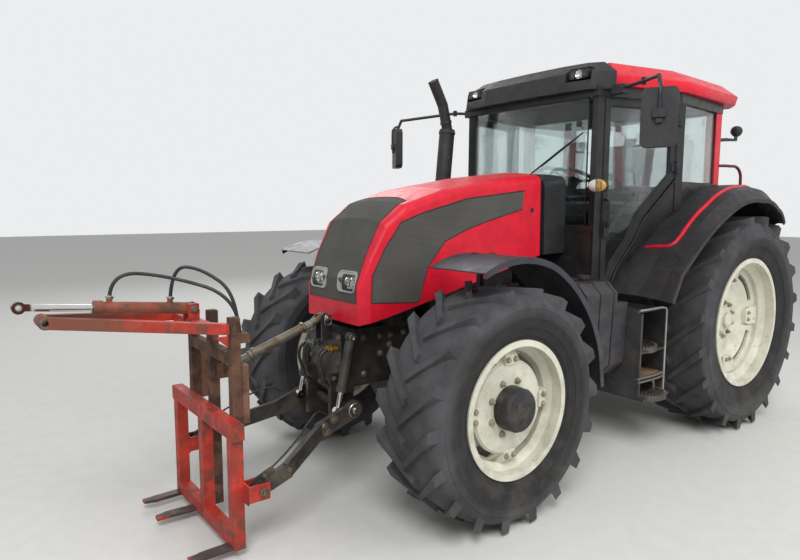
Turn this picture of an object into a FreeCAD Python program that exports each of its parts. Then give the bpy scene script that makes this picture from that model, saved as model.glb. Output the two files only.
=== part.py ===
import FreeCAD, Part
import math
import os
import re

# Farm tractor with a front lifting frame, millimetres, +X forward, +Y left, +Z up.
# Every table below is written from the rear axle: x is ahead of the axle line,
# y is left of the middle plane and z is above the ground under the lug tips.
# Each sub-part's Placement then moves it by rear_axle_x, so that the origin is
# on the ground under the middle of the whole machine.

V = FreeCAD.Vector
doc = FreeCAD.newDocument("FarmTractor")

# driving sizes
SIZES = [
    ("rear_axle_x", -1884), ("wheelbase", 2662),
    # wheels
    ("rear_tip", 845), ("front_tip", 665), ("rear_y", 860), ("front_y", 875),
    ("rear_lug", 42), ("front_lug", 36), ("rear_lugs", 20), ("front_lugs", 18),
    ("rear_half", 262), ("front_half", 225), ("rear_rim", 508), ("front_rim", 381),
    ("rear_flange", 213), ("front_flange", 196), ("rim_wall", 10), ("stub_r", 60), ("spindle_r", 55),
    ("bearing_gap", 1.6),
    # bonnet
    ("bonnet_rear", 1700), ("bonnet_skin", 12), ("bonnet_hinge_x", 1715), ("bonnet_hinge_z", 1955),
    # cab
    ("door_width", 708), ("door_angle", 14.7), ("door_thick", 36), ("pillar", 60),
    ("b_pillar_x", 700), ("b_pillar_y", 820), ("cab_floor_z", 1190), ("cab_top_z", 2495),
    ("glass", 6), ("roof_base_z", 2565), ("roof_high", 228),
    # fenders
    ("fender_in", 565), ("fender_out", 1160), ("fender_wall", 12),
    ("front_fender_in", 660), ("front_fender_out", 1080), ("front_fender_r", 775),
    # front linkage and lifting frame
    ("lift_pivot_x", 3190), ("lift_pivot_z", 564.5), ("lift_arm_run", 670), ("lift_arm_drop", 234.5),
    ("toplink_x", 3232), ("toplink_z", 1080),
    ("toplink_rise", 530), ("hook_y", 420), ("arm_root_y", 262), ("mast_y", 290), ("mast_box", 50),
    ("mast_top_z", 1190), ("grab_pivot_x", 4030), ("grab_pivot_z", 1213), ("grab_pitch", 5.56),
    ("grab_barrel", 470), ("grab_rod_out", 308), ("grab_barrel_r", 31),
    # rear linkage
    ("rear_link_x", -190), ("rear_link_z", 560), ("rear_link_run", 830), ("rear_link_y", 410),
    ("pto_z", 700), ("kingpin_y", 650),
]
sheet = doc.addObject("Spreadsheet::Sheet", "Dims")
for row, (alias, value) in enumerate(SIZES, start=1):
    sheet.set("A%d" % row, alias)
    sheet.set("B%d" % row, str(value))
    sheet.setAlias("B%d" % row, alias)
doc.recompute()
S = {alias: float(sheet.get(alias)) for alias, value in SIZES}


def ex(text):
    """A formula of aliases becomes one that the document reads."""
    return re.sub(r"[a-z_]+[a-z_0-9]*", lambda m: "Dims." + m.group(0) if m.group(0) in S else m.group(0),
                  text)


def bind(obj, prop, value):
    if isinstance(value, str):
        obj.setExpression(prop, ex(value))
    else:
        obj.setExpression(prop, repr(float(value)))


def spot(obj, x, y, z):
    for axis, value in zip("xyz", (x, y, z)):
        if value != 0:
            bind(obj, "Placement.Base." + axis, value)
    return obj


# small builders
def box(name, x, y, z, lx, ly, lz):
    o = doc.addObject("Part::Box", name)
    bind(o, "Length", lx), bind(o, "Width", ly), bind(o, "Height", lz)
    return spot(o, x, y, z)


def rod(name, x, y, z, r, length, along="z"):
    """A round bar that starts at x, y, z and runs along an axis."""
    o = doc.addObject("Part::Cylinder", name)
    bind(o, "Radius", r), bind(o, "Height", length)
    turn = {"z": (V(0, 0, 1), 0), "x": (V(0, 1, 0), 90), "y": (V(1, 0, 0), -90)}[along]
    o.Placement.Rotation = FreeCAD.Rotation(*turn)
    return spot(o, x, y, z)


def cone(name, x, y, z, r1, r2, length, along="z"):
    o = doc.addObject("Part::Cone", name)
    bind(o, "Radius1", r1), bind(o, "Radius2", r2), bind(o, "Height", length)
    turn = {"z": (V(0, 0, 1), 0), "x": (V(0, 1, 0), 90), "y": (V(1, 0, 0), -90)}[along]
    o.Placement.Rotation = FreeCAD.Rotation(*turn)
    return spot(o, x, y, z)


def feature(name, shape):
    o = doc.addObject("Part::Feature", name)
    o.Shape = shape if shape.Placement.isIdentity() else Part.makeCompound([shape])
    return o


PLANES = {"xy": "XY_Plane", "xz": "XZ_Plane", "yz": "YZ_Plane"}


def sketch_in(body, name, plane, offset, loops):
    """A sketch of closed polygons; each corner is held by two measures."""
    sk = body.newObject("Sketcher::SketchObject", name)
    base = [f for f in body.Origin.OriginFeatures if f.Role == PLANES[plane]][0]
    sk.AttachmentSupport = [(base, "")]
    sk.MapMode = "FlatFace"
    bind(sk, "AttachmentOffset.Base.z", offset)
    import Sketcher
    for loop in loops:
        n = len(loop)
        start = [V(200 * math.cos(2 * math.pi * i / n), 200 * math.sin(2 * math.pi * i / n), 0)
                 for i in range(n)]
        for i, (u, v) in enumerate(loop):
            start[i] = V(start[i].x if isinstance(u, str) else u, start[i].y if isinstance(v, str) else v,
                         0)
        first = sk.GeometryCount
        sk.addGeometry([Part.LineSegment(start[i], start[(i + 1) % n]) for i in range(n)], False)
        sk.addConstraint([Sketcher.Constraint("Coincident", first + i, 2, first + (i + 1) % n, 1)
                          for i in range(n)])
        for i, (u, v) in enumerate(loop):
            if u == 0:
                sk.addConstraint(Sketcher.Constraint("PointOnObject", first + i, 1, -2))
            else:
                cx = sk.addConstraint(Sketcher.Constraint("DistanceX", -1, 1, first + i, 1, start[i].x))
            if v == 0:
                sk.addConstraint(Sketcher.Constraint("PointOnObject", first + i, 1, -1))
            else:
                cy = sk.addConstraint(Sketcher.Constraint("DistanceY", -1, 1, first + i, 1, start[i].y))
            if isinstance(u, str):
                sk.setExpression("Constraints[%d]" % cx, ex(u))
            if isinstance(v, str):
                sk.setExpression("Constraints[%d]" % cy, ex(v))
    return sk


def pad(name, plane, start, length, *loops):
    """A body with one pad: xy pads up, yz pads forward and xz pads to the left."""
    body = doc.addObject("PartDesign::Body", name)
    offset = start
    if plane == "xz":
        offset = "-(%s)" % start if isinstance(start, str) else -start
    sk = sketch_in(body, name + "_sketch", plane, offset, loops)
    p = body.newObject("PartDesign::Pad", name + "_pad")
    p.Profile = sk
    bind(p, "Length", length)
    if plane == "xz":
        p.Reversed = True
    body.Tip = p
    return body


def turned(name, loop):
    """A ring turned about Y: the loop's columns are y and radius."""
    body = doc.addObject("PartDesign::Body", name)
    sk = sketch_in(body, name + "_sketch", "yz", 0, [loop])
    r = body.newObject("PartDesign::Revolution", name + "_turn")
    r.Profile = sk
    r.ReferenceAxis = (sk, ["H_Axis"])
    r.Angle = 360
    body.Tip = r
    return body


def fuse(name, *parts):
    o = doc.addObject("Part::MultiFuse", name)
    o.Shapes = list(parts)
    return o


def cut(name, base, tool):
    o = doc.addObject("Part::Cut", name)
    o.Base, o.Tool = base, tool
    return o


def common(name, base, tool):
    o = doc.addObject("Part::Common", name)
    o.Base, o.Tool = base, tool
    return o


def pair(name, *parts):
    """Like pieces of one body that don't touch."""
    o = doc.addObject("Part::Compound", name)
    o.Links = list(parts)
    return o


def mirror(name, source):
    o = doc.addObject("Part::Mirroring", name)
    o.Source = source
    o.Normal = V(0, 1, 0)
    return o


NODES = []


def node(obj, label, x=0, y=0, z=0):
    obj.Label = label
    bind(obj, "Placement.Base.x", "rear_axle_x" if x == 0 else "rear_axle_x+%s" % x)
    if y != 0:
        bind(obj, "Placement.Base.y", y)
    if z != 0:
        bind(obj, "Placement.Base.z", z)
    NODES.append((label, obj))
    return obj


def twin(source, label):
    obj = mirror(label + "_mirror", source)
    obj.Label = label
    NODES.append((label, obj))
    return obj


def wire(path):
    """Closed wire of lines (u, v) and arcs (u_mid, v_mid, u, v)."""
    pts, edges = path[0], []
    here = V(*path[0], 0)
    for step in path[1:]:
        if len(step) == 2:
            there = V(step[0], step[1], 0)
            edges.append(Part.LineSegment(here, there).toShape())
        else:
            there = V(step[2], step[3], 0)
            edges.append(Part.Arc(here, V(step[0], step[1], 0), there).toShape())
        here = there
    if here.distanceToPoint(V(*path[0], 0)) > 1e-6:
        edges.append(Part.LineSegment(here, V(*path[0], 0)).toShape())
    return Part.Wire(edges)


def side_slab(path, y0, y1):
    """A profile drawn in x and z, thick from y0 to y1."""
    f = Part.Face(wire(path))
    f.rotate(V(0, 0, 0), V(1, 0, 0), 90)
    f.translate(V(0, y0, 0))
    return f.extrude(V(0, y1 - y0, 0))


def band(path, t):
    """A closed path that follows an open one and comes back t inside it."""
    flat = []
    for step in path:
        flat += [(step[0], step[1])] if len(step) == 2 else [(step[0], step[1]), (step[2], step[3])]
    inner = []
    for i, p in enumerate(flat):
        a, b = flat[max(i - 1, 0)], flat[min(i + 1, len(flat) - 1)]
        d = math.hypot(b[0] - a[0], b[1] - a[1])
        inner.append((p[0] - t * (b[1] - a[1]) / d, p[1] + t * (b[0] - a[0]) / d))
    back, k = [], len(flat) - 1
    back.append(inner[k])
    for step in reversed(path[1:]):
        if len(step) == 2:
            k -= 1
            back.append(inner[k])
        else:
            back.append(inner[k - 1] + inner[k - 2])
            k -= 2
    return path + back


def strut(p, q, wide, deep):
    """A square bar between two points; wide is across, deep is in the x-z plane."""
    p, q = V(*p), V(*q)
    d = q - p
    length = d.Length
    b = Part.makeBox(length, wide, deep, V(0, -wide / 2, -deep / 2))
    turn = FreeCAD.Rotation(V(1, 0, 0), d)
    yaw = math.degrees(math.atan2(d.y, d.x))
    pitch = -math.degrees(math.asin(d.z / length))
    turn = FreeCAD.Rotation(V(0, 0, 1), yaw).multiply(FreeCAD.Rotation(V(0, 1, 0), pitch))
    b.Placement = FreeCAD.Placement(p, turn)
    return b


def tube(p, q, r):
    p, q = V(*p), V(*q)
    return Part.makeCylinder(r, (q - p).Length, p, q - p)


def joined(shapes):
    return shapes[0].multiFuse(shapes[1:]).removeSplitter() if len(shapes) > 1 else shapes[0]


# wheels
def tyre(tip, half, lug, rim, flange, lugs, seat):
    """Many-sided carcass, two sides to a lug, with two rows of slanted lugs half a pitch apart."""
    deck = tip - lug
    sides = int(lugs) * 2
    snug = 1 / math.cos(math.pi / sides)
    # columns: across, radius
    section = [(-flange + 10, seat * snug), (-flange + 10, rim + 14), (-half, (deck + rim) / 2 + 10),
               (-half + 30, deck - 22),
               (half - 30, deck - 22), (half, (deck + rim) / 2 + 10), (flange - 10, rim + 14),
               (flange - 10, seat * snug)]
    faces = []
    for k in range(sides):
        a, b = [2 * math.pi * (k + q) / sides for q in (-0.5, 0.5)]
        for (u, r), (v, t_) in zip(section, section[1:] + section[:1]):
            ring_ = [V(r * math.sin(a), u, r * math.cos(a)), V(t_ * math.sin(a), v, t_ * math.cos(a)),
                     V(t_ * math.sin(b), v, t_ * math.cos(b)), V(r * math.sin(b), u, r * math.cos(b))]
            faces.append(Part.Face(Part.makePolygon(ring_ + ring_[:1])))
    body = Part.Solid(Part.makeShell(faces))
    if body.Volume < 0:
        body = body.reversed()
    bars = []
    pitch = 360.0 / lugs
    for row in (1, -1):
        for k in range(int(lugs)):
            # columns: y, half width of the bar, turn along the tread in degrees
            a0, a1 = 0.0, pitch * 0.95
            ends = []
            for u, w, a, low in ((-14, 19, a1, deck - 34), (half - 12, 29, a0, deck - 70)):
                ang = math.radians(a + (k + (0.5 if row > 0 else 0)) * pitch)
                mid_low = V(math.sin(ang) * low, 0, math.cos(ang) * low)
                mid_top = V(math.sin(ang) * (tip - (6 if u > 0 else 0)), 0,
                            math.cos(ang) * (tip - (6 if u > 0 else 0)))
                along = V(math.cos(ang), 0, -math.sin(ang))
                ends.append(Part.makePolygon([p + V(0, row * u, 0) for p in (
                    mid_low - along * (w + 9), mid_low + along * (w + 9), mid_top + along * w,
                    mid_top - along * w,
                    mid_low - along * (w + 9))]))
            bars.append(Part.makeLoft(ends, True, True))
    return body.multiFuse(bars)


# rear rim in one turned profile, (across, radius): flanges, seats and well, then the disc, the hub drum
# and its cap
rear_turned = turned("rear_turned", [
    ("rear_flange", "rear_rim"), ("rear_flange-10", "rear_rim"), ("rear_flange-10", "rear_rim-26"),
    ("rear_flange-62", "rear_rim-26"), ("rear_flange-100", "rear_rim-70"),
    ("-rear_flange+100", "rear_rim-70"),
    ("-rear_flange+62", "rear_rim-26"), ("-rear_flange+10", "rear_rim-26"), ("-rear_flange+10", "rear_rim"),
    ("-rear_flange", "rear_rim"), ("-rear_flange", "rear_rim-26-rim_wall"),
    ("-rear_flange+66", "rear_rim-26-rim_wall"),
    ("-rear_flange+104", "rear_rim-70-rim_wall"), (60, "rear_rim-70-rim_wall"), (38, "rear_rim-155"),
    (0, 270),
    (0, 165), (-12, 165), (-12, 105), (-150, 105), (-150, "stub_r+bearing_gap"), (20, "stub_r+bearing_gap"),
    (20, 0), (60, 0),
    (60, 60), (40, 60), (30, 105), (18, 112), (20, 262), (58, "rear_rim-160"), (78, "rear_rim-70-rim_wall"),
    ("rear_flange-104", "rear_rim-70-rim_wall"), ("rear_flange-66", "rear_rim-26-rim_wall"),
    ("rear_flange", "rear_rim-26-rim_wall")])


def crescents(name, inner, outer, half_angle):
    """Four curved slots through a wheel's disc, as tools turned about the axle."""
    tools = []
    for k in range(4):
        a = math.radians(45 + 90 * k - half_angle)
        loop = [V(inner * math.cos(a), -20, inner * math.sin(a)),
                V(outer * math.cos(a), -20, outer * math.sin(a)),
                V(outer * math.cos(a), 150, outer * math.sin(a)),
                V(inner * math.cos(a), 150, inner * math.sin(a))]
        tools.append(Part.Face(Part.makePolygon(loop + loop[:1])).revolve(V(0, 0, 0), V(0, -1, 0),
                2 * half_angle))
    return feature(name, Part.makeCompound(tools))


rear_slots = crescents("rear_slots", 352, 392, 25)
rear_wheel = cut("rear_rim_cut", rear_turned, rear_slots)
node(rear_wheel, "rear_rim_left", "0", "rear_y", "rear_tip")
rear_tyre = feature("rear_tyre", tyre(S["rear_tip"], S["rear_half"], S["rear_lug"], S["rear_rim"],
                                      S["rear_flange"], S["rear_lugs"], S["rear_rim"] - 26))
node(rear_tyre, "rear_tyre_left", "0", "rear_y", "rear_tip")
twin(rear_wheel, "rear_rim_right")
twin(rear_tyre, "rear_tyre_right")

front_turned = turned("front_turned", [
    ("front_flange", "front_rim"), ("front_flange-10", "front_rim"), ("front_flange-10", "front_rim-24"),
    ("front_flange-60", "front_rim-24"), ("front_flange-92", "front_rim-60"),
    ("-front_flange+92", "front_rim-60"),
    ("-front_flange+60", "front_rim-24"), ("-front_flange+10", "front_rim-24"),
    ("-front_flange+10", "front_rim"),
    ("-front_flange", "front_rim"), ("-front_flange", "front_rim-24-rim_wall"),
    ("-front_flange+64", "front_rim-24-rim_wall"),
    ("-front_flange+96", "front_rim-60-rim_wall"), (42, "front_rim-60-rim_wall"), (100, 244), (100, 165),
    (98, 165),
    (60, 120), (-95, 120), (-95, "spindle_r+bearing_gap"), (60, "spindle_r+bearing_gap"), (60, 0), (212, 0),
    (212, 60),
    (205, 72), (205, 96), (119, 96), (119, 127), (118, 250), (60, "front_rim-60-rim_wall"),
    ("front_flange-96", "front_rim-60-rim_wall"), ("front_flange-64", "front_rim-24-rim_wall"),
    ("front_flange", "front_rim-24-rim_wall")])
front_slots = crescents("front_slots", 262, 296, 25)
front_wheel = cut("front_rim_cut", front_turned, front_slots)
node(front_wheel, "front_rim_left", "wheelbase", "front_y", "front_tip")
front_tyre = feature("front_tyre", tyre(S["front_tip"], S["front_half"], S["front_lug"], S["front_rim"],
                                        S["front_flange"], S["front_lugs"], S["front_rim"] - 24))
node(front_tyre, "front_tyre_left", "wheelbase", "front_y", "front_tip")
twin(front_wheel, "front_rim_right")
twin(front_tyre, "front_tyre_right")

# running gear
node(fuse("engine_sum",
          box("engine_core", 1725, -215, 640, 845, 430, 560),
          box("engine_head", 1725, -150, 1195, 800, 300, 165),
          box("engine_sump", 1780, -165, 520, 760, 330, 125)), "engine_block")
node(fuse("gearbox_sum",
          box("gearbox", 560, -230, 560, 1165, 460, 520),
          pad("rear_case", "xz", -250, 500, [(-330, 520), (-330, 1000), (-230, 1130), (420, 1130),
                  (570, 1080), (570, 560), (300, 480), (-200, 480)]),
          rod("trumpet", 0, -620, "rear_tip", 105, 1240, "y"),
          rod("stub_shafts", 0, "-rear_y-19.7", "rear_tip", "stub_r", "2*rear_y+39.4", "y"),
          rod("cab_mount_fl", 980, 150, 1078, 45, 42, "z"), rod("cab_mount_fr", 980, -150, 1078, 45, 42,
                  "z"),
          rod("cab_mount_rl", 120, 205, 1120, 40, 340, "z"), rod("cab_mount_rr", 120, -205, 1120, 40, 340,
                  "z")), "transmission_housing")
axle_sum = fuse("front_axle_sum",
                pad("axle_beam", "yz", "wheelbase-75", 150,
                    [(-570, 720), (-300, 735), (-140, 635), (140, 635), (300, 735), (570, 720),
                     (570, 610), (300, 585), (150, 470), (-150, 470), (-300, 585), (-570, 610)]),
                box("trunnion", "wheelbase-60", -90, 625, 120, 180, 47),
                box("yoke_top_l", "wheelbase-60", "kingpin_y-92", "front_tip+75", 120, 142, 32),
                box("yoke_low_l", "wheelbase-60", "kingpin_y-92", "front_tip-107", 120, 142, 32),
                box("yoke_back_l", "wheelbase-60", "kingpin_y-96", "front_tip-107", 120, 20, 214),
                box("yoke_top_r", "wheelbase-60", "-kingpin_y-50", "front_tip+75", 120, 142, 32),
                box("yoke_low_r", "wheelbase-60", "-kingpin_y-50", "front_tip-107", 120, 142, 32),
                box("yoke_back_r", "wheelbase-60", "-kingpin_y+76", "front_tip-107", 120, 20, 214))
axle_bores = pair("kingpin_bores",
                  rod("kingpin_bore_l", "wheelbase", "kingpin_y", "front_tip-120", 25, 240, "z"),
                  rod("kingpin_bore_r", "wheelbase", "-kingpin_y", "front_tip-120", 25, 240, "z"))
node(cut("front_axle_cut", axle_sum, axle_bores), "front_axle_beam")
node(fuse("radiator_sum", box("radiator_core", 2790, -240, 1020, 90, 480, 490),
          box("radiator_shroud", 2720, -255, 1020, 70, 510, 480)), "radiator_pack")

# knuckle: a block between the yokes, and a spindle that the wheel turns on
# front fender: a band over the tyre with a lip on its outer edge
r = S["front_fender_r"]
wb, ft = S["wheelbase"], S["front_tip"]


def on_wheel(radius, degrees, rise=0):
    return (wb + radius * math.cos(math.radians(degrees)),
            ft + rise + radius * math.sin(math.radians(degrees)))


fender_path = [on_wheel(r, 68, 36), on_wheel(r + 10, 88, 36) + on_wheel(r, 112, 32),
               on_wheel(r - 22, 140, 10) + on_wheel(r - 30, 163, 0),
               on_wheel(r - 30, 178, -20)]
fin, fout = S["front_fender_in"], S["front_fender_out"]
front_fender = feature("front_fender", joined([
    side_slab(band(fender_path, 7), fin, fout),
    side_slab(band(fender_path, 34), fout - 8, fout)]))
stay_x, stay_y, kp = wb - 130, S["kingpin_y"] - 25, S["kingpin_y"]
stay = joined([
    strut((wb - 40, kp + 15, ft), (stay_x - 10, stay_y, ft), 30, 30),
    strut((stay_x, stay_y, ft - 15), (stay_x, stay_y, ft + r + 40), 30, 30),
    strut((stay_x, stay_y - 15, ft + r + 12), (stay_x, fout - 60, ft + r + 12), 40, 30)]).cut(
        side_slab(band(fender_path, 7.3), 0, fout))
stay = sorted(stay.Solids, key=lambda q: -q.Volume)[0]
knuckle = fuse("knuckle_sum",
               box("knuckle_block", "wheelbase-52", "kingpin_y-45", "front_tip-68", 104, 103, 136),
               rod("kingpin", "wheelbase", "kingpin_y", "front_tip-112", 24, 224, "z"),
               rod("spindle", "wheelbase", "kingpin_y+50", "front_tip", "spindle_r",
                   "front_y-kingpin_y+9.7", "y"),
               feature("fender_stay", stay))
node(knuckle, "knuckle_left")
twin(knuckle, "knuckle_right")
node(front_fender, "front_fender_left")
twin(front_fender, "front_fender_right")

# bonnet
# columns: x, half width, bottom z, shoulder z, crown z
BONNET = [
    (S["bonnet_rear"], 376, 1410, 1905, 1995),
    (2100, 374, 1316, 1870, 1952),
    (2560, 362, 1204, 1800, 1873),
    (2860, 346, 1131, 1700, 1782),
    (3000, 332, 1097, 1590, 1676),
    (3100, 314, 1073, 1400, 1490),
    (3168, 288, 1060, 1240, 1322),
]


def bonnet_section(x, half, low, shoulder, crown, inset=0.0, drop=0.0):
    w, top = half - inset, crown - inset
    sh = shoulder - inset * 0.4
    turn = 62.0
    p = [V(x, -w, low - drop), V(x, w, low - drop), V(x, w - 6, sh), V(x, w - turn, sh + 0.72 * (top - sh)),
         V(x, 0, top), V(x, -w + turn, sh + 0.72 * (top - sh)), V(x, -w + 6, sh)]
    bend = V(x, w - 22, sh + 0.5 * (top - sh))
    bend2 = V(x, -w + 22, sh + 0.5 * (top - sh))
    return Part.Wire([Part.LineSegment(p[0], p[1]).toShape(), Part.LineSegment(p[1], p[2]).toShape(),
                      Part.Arc(p[2], bend, p[3]).toShape(), Part.Arc(p[3], p[4], p[5]).toShape(),
                      Part.Arc(p[5], bend2, p[6]).toShape(), Part.LineSegment(p[6], p[0]).toShape()])


skin = S["bonnet_skin"]
outer = Part.makeLoft([bonnet_section(*row) for row in BONNET], True, True)
inner_rows = [(BONNET[0][0] - 20,) + BONNET[0][1:]] + BONNET[1:-1] + [(BONNET[-1][0] - skin,)
        + BONNET[-1][1:]]
inner = Part.makeLoft([bonnet_section(*row, inset=skin, drop=60.0) for row in inner_rows], True, True)
shell = outer.cut(inner)
mesh_path = [(3095, 1190), (2773, 1172), (2703, 1380), (2571, 1533), (2390, 1604), (2167, 1665),
             (1885, 1730), (1868, 1856),
             (2394, 1796), (2746, 1708), (2896, 1655), (3010, 1500), (3085, 1350)]
mesh_tool = side_slab(mesh_path, -500, 500)
nose_path = [(3300, 1186), (3120, 1186), (3110, 1330), (3040, 1500), (2960, 1630), (2870, 1728),
             (2780, 1800), (3000, 1900), (3300, 1700)]
nose_tool = side_slab(nose_path, -262, 262)
side_mesh = shell.common(mesh_tool)
grille = shell.common(nose_tool)
body_shell = shell.cut(mesh_tool.fuse(nose_tool))
LAMPS = [(3070, y, 1300) for y in (172, -172)]
lamp_holes = Part.makeCompound([Part.makeBox(150, 128.4, 98.4, V(x, y - 64.2, z - 49.2))
                                for x, y, z in LAMPS])
grille = grille.cut(lamp_holes)
lamps = Part.makeCompound([outer.common(Part.makeBox(150, 128, 98, V(x, y - 64, z - 49)))
                           for x, y, z in LAMPS])
ears = [Part.makeCylinder(14, 40, V(S["bonnet_hinge_x"], y - 20, S["bonnet_hinge_z"]), V(0, 1, 0)).fuse(
    Part.makeBox(24, 40, 40, V(S["bonnet_hinge_x"] - 12, y - 20, S["bonnet_hinge_z"]))).cut(
    Part.makeCylinder(6.4, 60, V(S["bonnet_hinge_x"], y - 30, S["bonnet_hinge_z"]), V(0, 1, 0)))
    for y in (-160, 160)]
body_shell = joined([body_shell] + [e.common(outer) for e in ears])
node(feature("bonnet_cover", body_shell), "bonnet_shell")
node(feature("bonnet_mesh", side_mesh), "bonnet_side_mesh")
node(feature("bonnet_nose", grille), "front_grille")
node(feature("bonnet_lamps", lamps), "headlamps")

# cab
cowl = feature("cowl_loft", Part.makeLoft([bonnet_section(1436, 384, 1420, 1905, 1995),
                                           bonnet_section(1655, 374, 1413, 1880, 1962)], True, True))
pivots = feature("bonnet_pivots", joined([
    s for y in (-160, 160) for s in (
        Part.makeCylinder(6, 66, V(S["bonnet_hinge_x"], y - 33, S["bonnet_hinge_z"]), V(0, 1, 0)),
        Part.makeBox(S["bonnet_hinge_x"] - 1640 + 7, 8, 12, V(1640, y - 33, S["bonnet_hinge_z"] - 14)),
        Part.makeBox(S["bonnet_hinge_x"] - 1640 + 7, 8, 12, V(1640, y + 25, S["bonnet_hinge_z"] - 14)))]))

door_turn = FreeCAD.Rotation(V(0, 0, 1), -S["door_angle"])
door_at = FreeCAD.Placement(V(S["b_pillar_x"], S["b_pillar_y"], 0), door_turn)


def in_door(shape):
    """Drawn with x along the door from its hinge pillar, then set at its angle."""
    shape.Placement = door_at.multiply(shape.Placement)
    return shape


REAR_FENDER = [(1300, 1150), (1139, 1345), (935, 1535), (790, 1665, 610, 1762), (330, 1880, 20, 1918),
               (-280, 1890, -470, 1745), (-540, 1640, -560, 1560)]
FENDER_MID = [(1320, 1142), (1187, 1333), (968, 1518), (815, 1645, 585, 1762), (350, 1852, 60, 1884),
              (-170, 1862, -340, 1762), (-425, 1690, -455, 1625)]
FENDER_LIP = [(1340, 1135), (1235, 1320), (1000, 1500), (830, 1612, 550, 1745), (380, 1796, 100, 1806),
              (-60, 1796, -180, 1745), (-275, 1690, -320, 1628)]
under_fender = side_slab(REAR_FENDER + [(-560, 1000), (1300, 1000)], S["fender_in"], S["fender_out"])
under_fender = under_fender.fuse(under_fender.mirror(V(0, 0, 0), V(0, 1, 0)))
W, T = S["door_width"], S["door_thick"]
top, floor = S["cab_top_z"], S["cab_floor_z"]
a_pillar = in_door(side_slab([(W, floor - 6), (W + S["pillar"], floor - 6), (W + S["pillar"] - 8, top),
                              (W, top)], -S["pillar"], 0))
b_pillar = in_door(side_slab([(-34, 1735), (34, 1715), (34, top), (-34, top)], -S["pillar"], 0))
strip = in_door(side_slab([(611, floor), (546, 1325), (401, 1513), (322, 1662), (192, 1791), (30, 1950),
                           (-34, 1950), (-34, 1735),
                           (62, 1700), (243, 1545), (445, 1355), (585, floor)], -26, -6))
c_pillar = side_slab([(-60, 1917), (20, 1919), (30, top), (-60, top)], 660, 745)
quarter_turn = FreeCAD.Placement(V(0, 745, 0),
                                 FreeCAD.Rotation(V(0, 0, 1),
                                         math.degrees(math.atan2(S["b_pillar_y"] - 745, S["b_pillar_x"]))))
quarter_sill = side_slab([(10, 1919), (22, 1919), (332, 1881), (612, 1763), (675, 1730), (675, 1934),
                          (10, 1934)], -24, -2)
quarter_sill.Placement = quarter_turn
HINGE = (37, 14)
hinges = []
for z in (1990, 2330):
    hinges += [Part.makeCylinder(9, 90, V(HINGE[0], HINGE[1], z)),
               Part.makeBox(40, 14, 14, V(HINGE[0] - 40, 0, z)),
               Part.makeBox(40, 14, 14, V(HINGE[0] - 40, 0, z + 76))]
    hinges += [Part.makeCylinder(14, 14, V(HINGE[0], HINGE[1], z)),
               Part.makeCylinder(14, 14, V(HINGE[0], HINGE[1], z + 76))]
hinge_set = in_door(joined(hinges))
ax = S["b_pillar_x"] + (W + S["pillar"]) * math.cos(math.radians(S["door_angle"]))
ay = S["b_pillar_y"] - (W + S["pillar"]) * math.sin(math.radians(S["door_angle"]))
PLAN = [(ax + 6, ay + 6), (S["b_pillar_x"], S["b_pillar_y"]), (-60, 750)]


def ring(plan, z0, z1, wide):
    def face(inset):
        pts = [(x - (inset if i == 0 else (-inset if i == 2 else 0)), y - inset) for i,
               (x, y) in enumerate(plan)]
        pts = pts + [(x, -y) for x, y in reversed(pts)]
        return Part.Face(Part.makePolygon([V(x, y, z0) for x, y in pts + pts[:1]]))
    return face(0).cut(face(wide)).extrude(V(0, 0, z1 - z0))


roof_ring = ring(PLAN, top, S["roof_base_z"], 70)
front_sill = Part.Face(Part.makePolygon([V(x, y, floor - 70) for x, y in (
    (1064, -565), (1064, 565), (1312, 565), (1312, 655), (ax + 6, ay + 6), (ax + 6, -ay - 6), (1312, -655),
    (1312, -565), (1064, -565))])).extrude(V(0, 0, 68))
mirrored = []
for s in (a_pillar, b_pillar, strip, c_pillar, quarter_sill, hinge_set):
    mirrored.append(s.mirror(V(0, 0, 0), V(0, 1, 0)))
lower_wall = [Part.makeBox(30, 2 * ay, 40, V(ax - 30, -ay, 1575)),
              Part.makeBox(22, ay - 20, 385, V(ax - 26, 0, floor)),
              Part.makeBox(22, ay - 20, 385, V(ax - 26, -ay + 20, floor))]
rear_bar = [Part.makeBox(50, 1330, 60, V(-60, -665, 1865))]
cab_frame = joined([a_pillar, b_pillar, strip, c_pillar, quarter_sill, hinge_set, roof_ring, front_sill]
                   + mirrored + lower_wall + rear_bar).cut(under_fender)
node(feature("cab_frame_welded", cab_frame), "cab_frame")
side_wall = [(-60, 1460), (-60, 1898), (20, 1905), (330, 1867), (600, 1752), (780, 1655), (925, 1528),
             (985, 1462), (985, 1455), (664, 1455)]
tub = joined([Part.makeBox(1064 - 690, 1130, 30, V(690, -565, floor - 70)),
              Part.makeBox(26, 1130, 366, V(664, -565, floor - 70)),
              Part.makeBox(750, 1130, 26, V(-60, -565, 1460)),
              Part.makeBox(26, 1130, 400, V(-60, -565, 1460)),
              side_slab(side_wall, 545, 565), side_slab(side_wall, -565, -545),
              Part.makeBox(400, 20, 340, V(664, -565, floor - 70)),
              Part.makeBox(400, 20, 340, V(664, 545, floor - 70))]).cut(cab_frame)
node(fuse("cab_tub", feature("tub_plates", tub),
          cut("cowl_cut", cut("cowl_hollow", cowl, box("cowl_room", 1400, -340, 1300, 230, 680, 560)),
              feature("frame_room", cab_frame)), pivots), "cab_floor_and_cowl")

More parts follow.
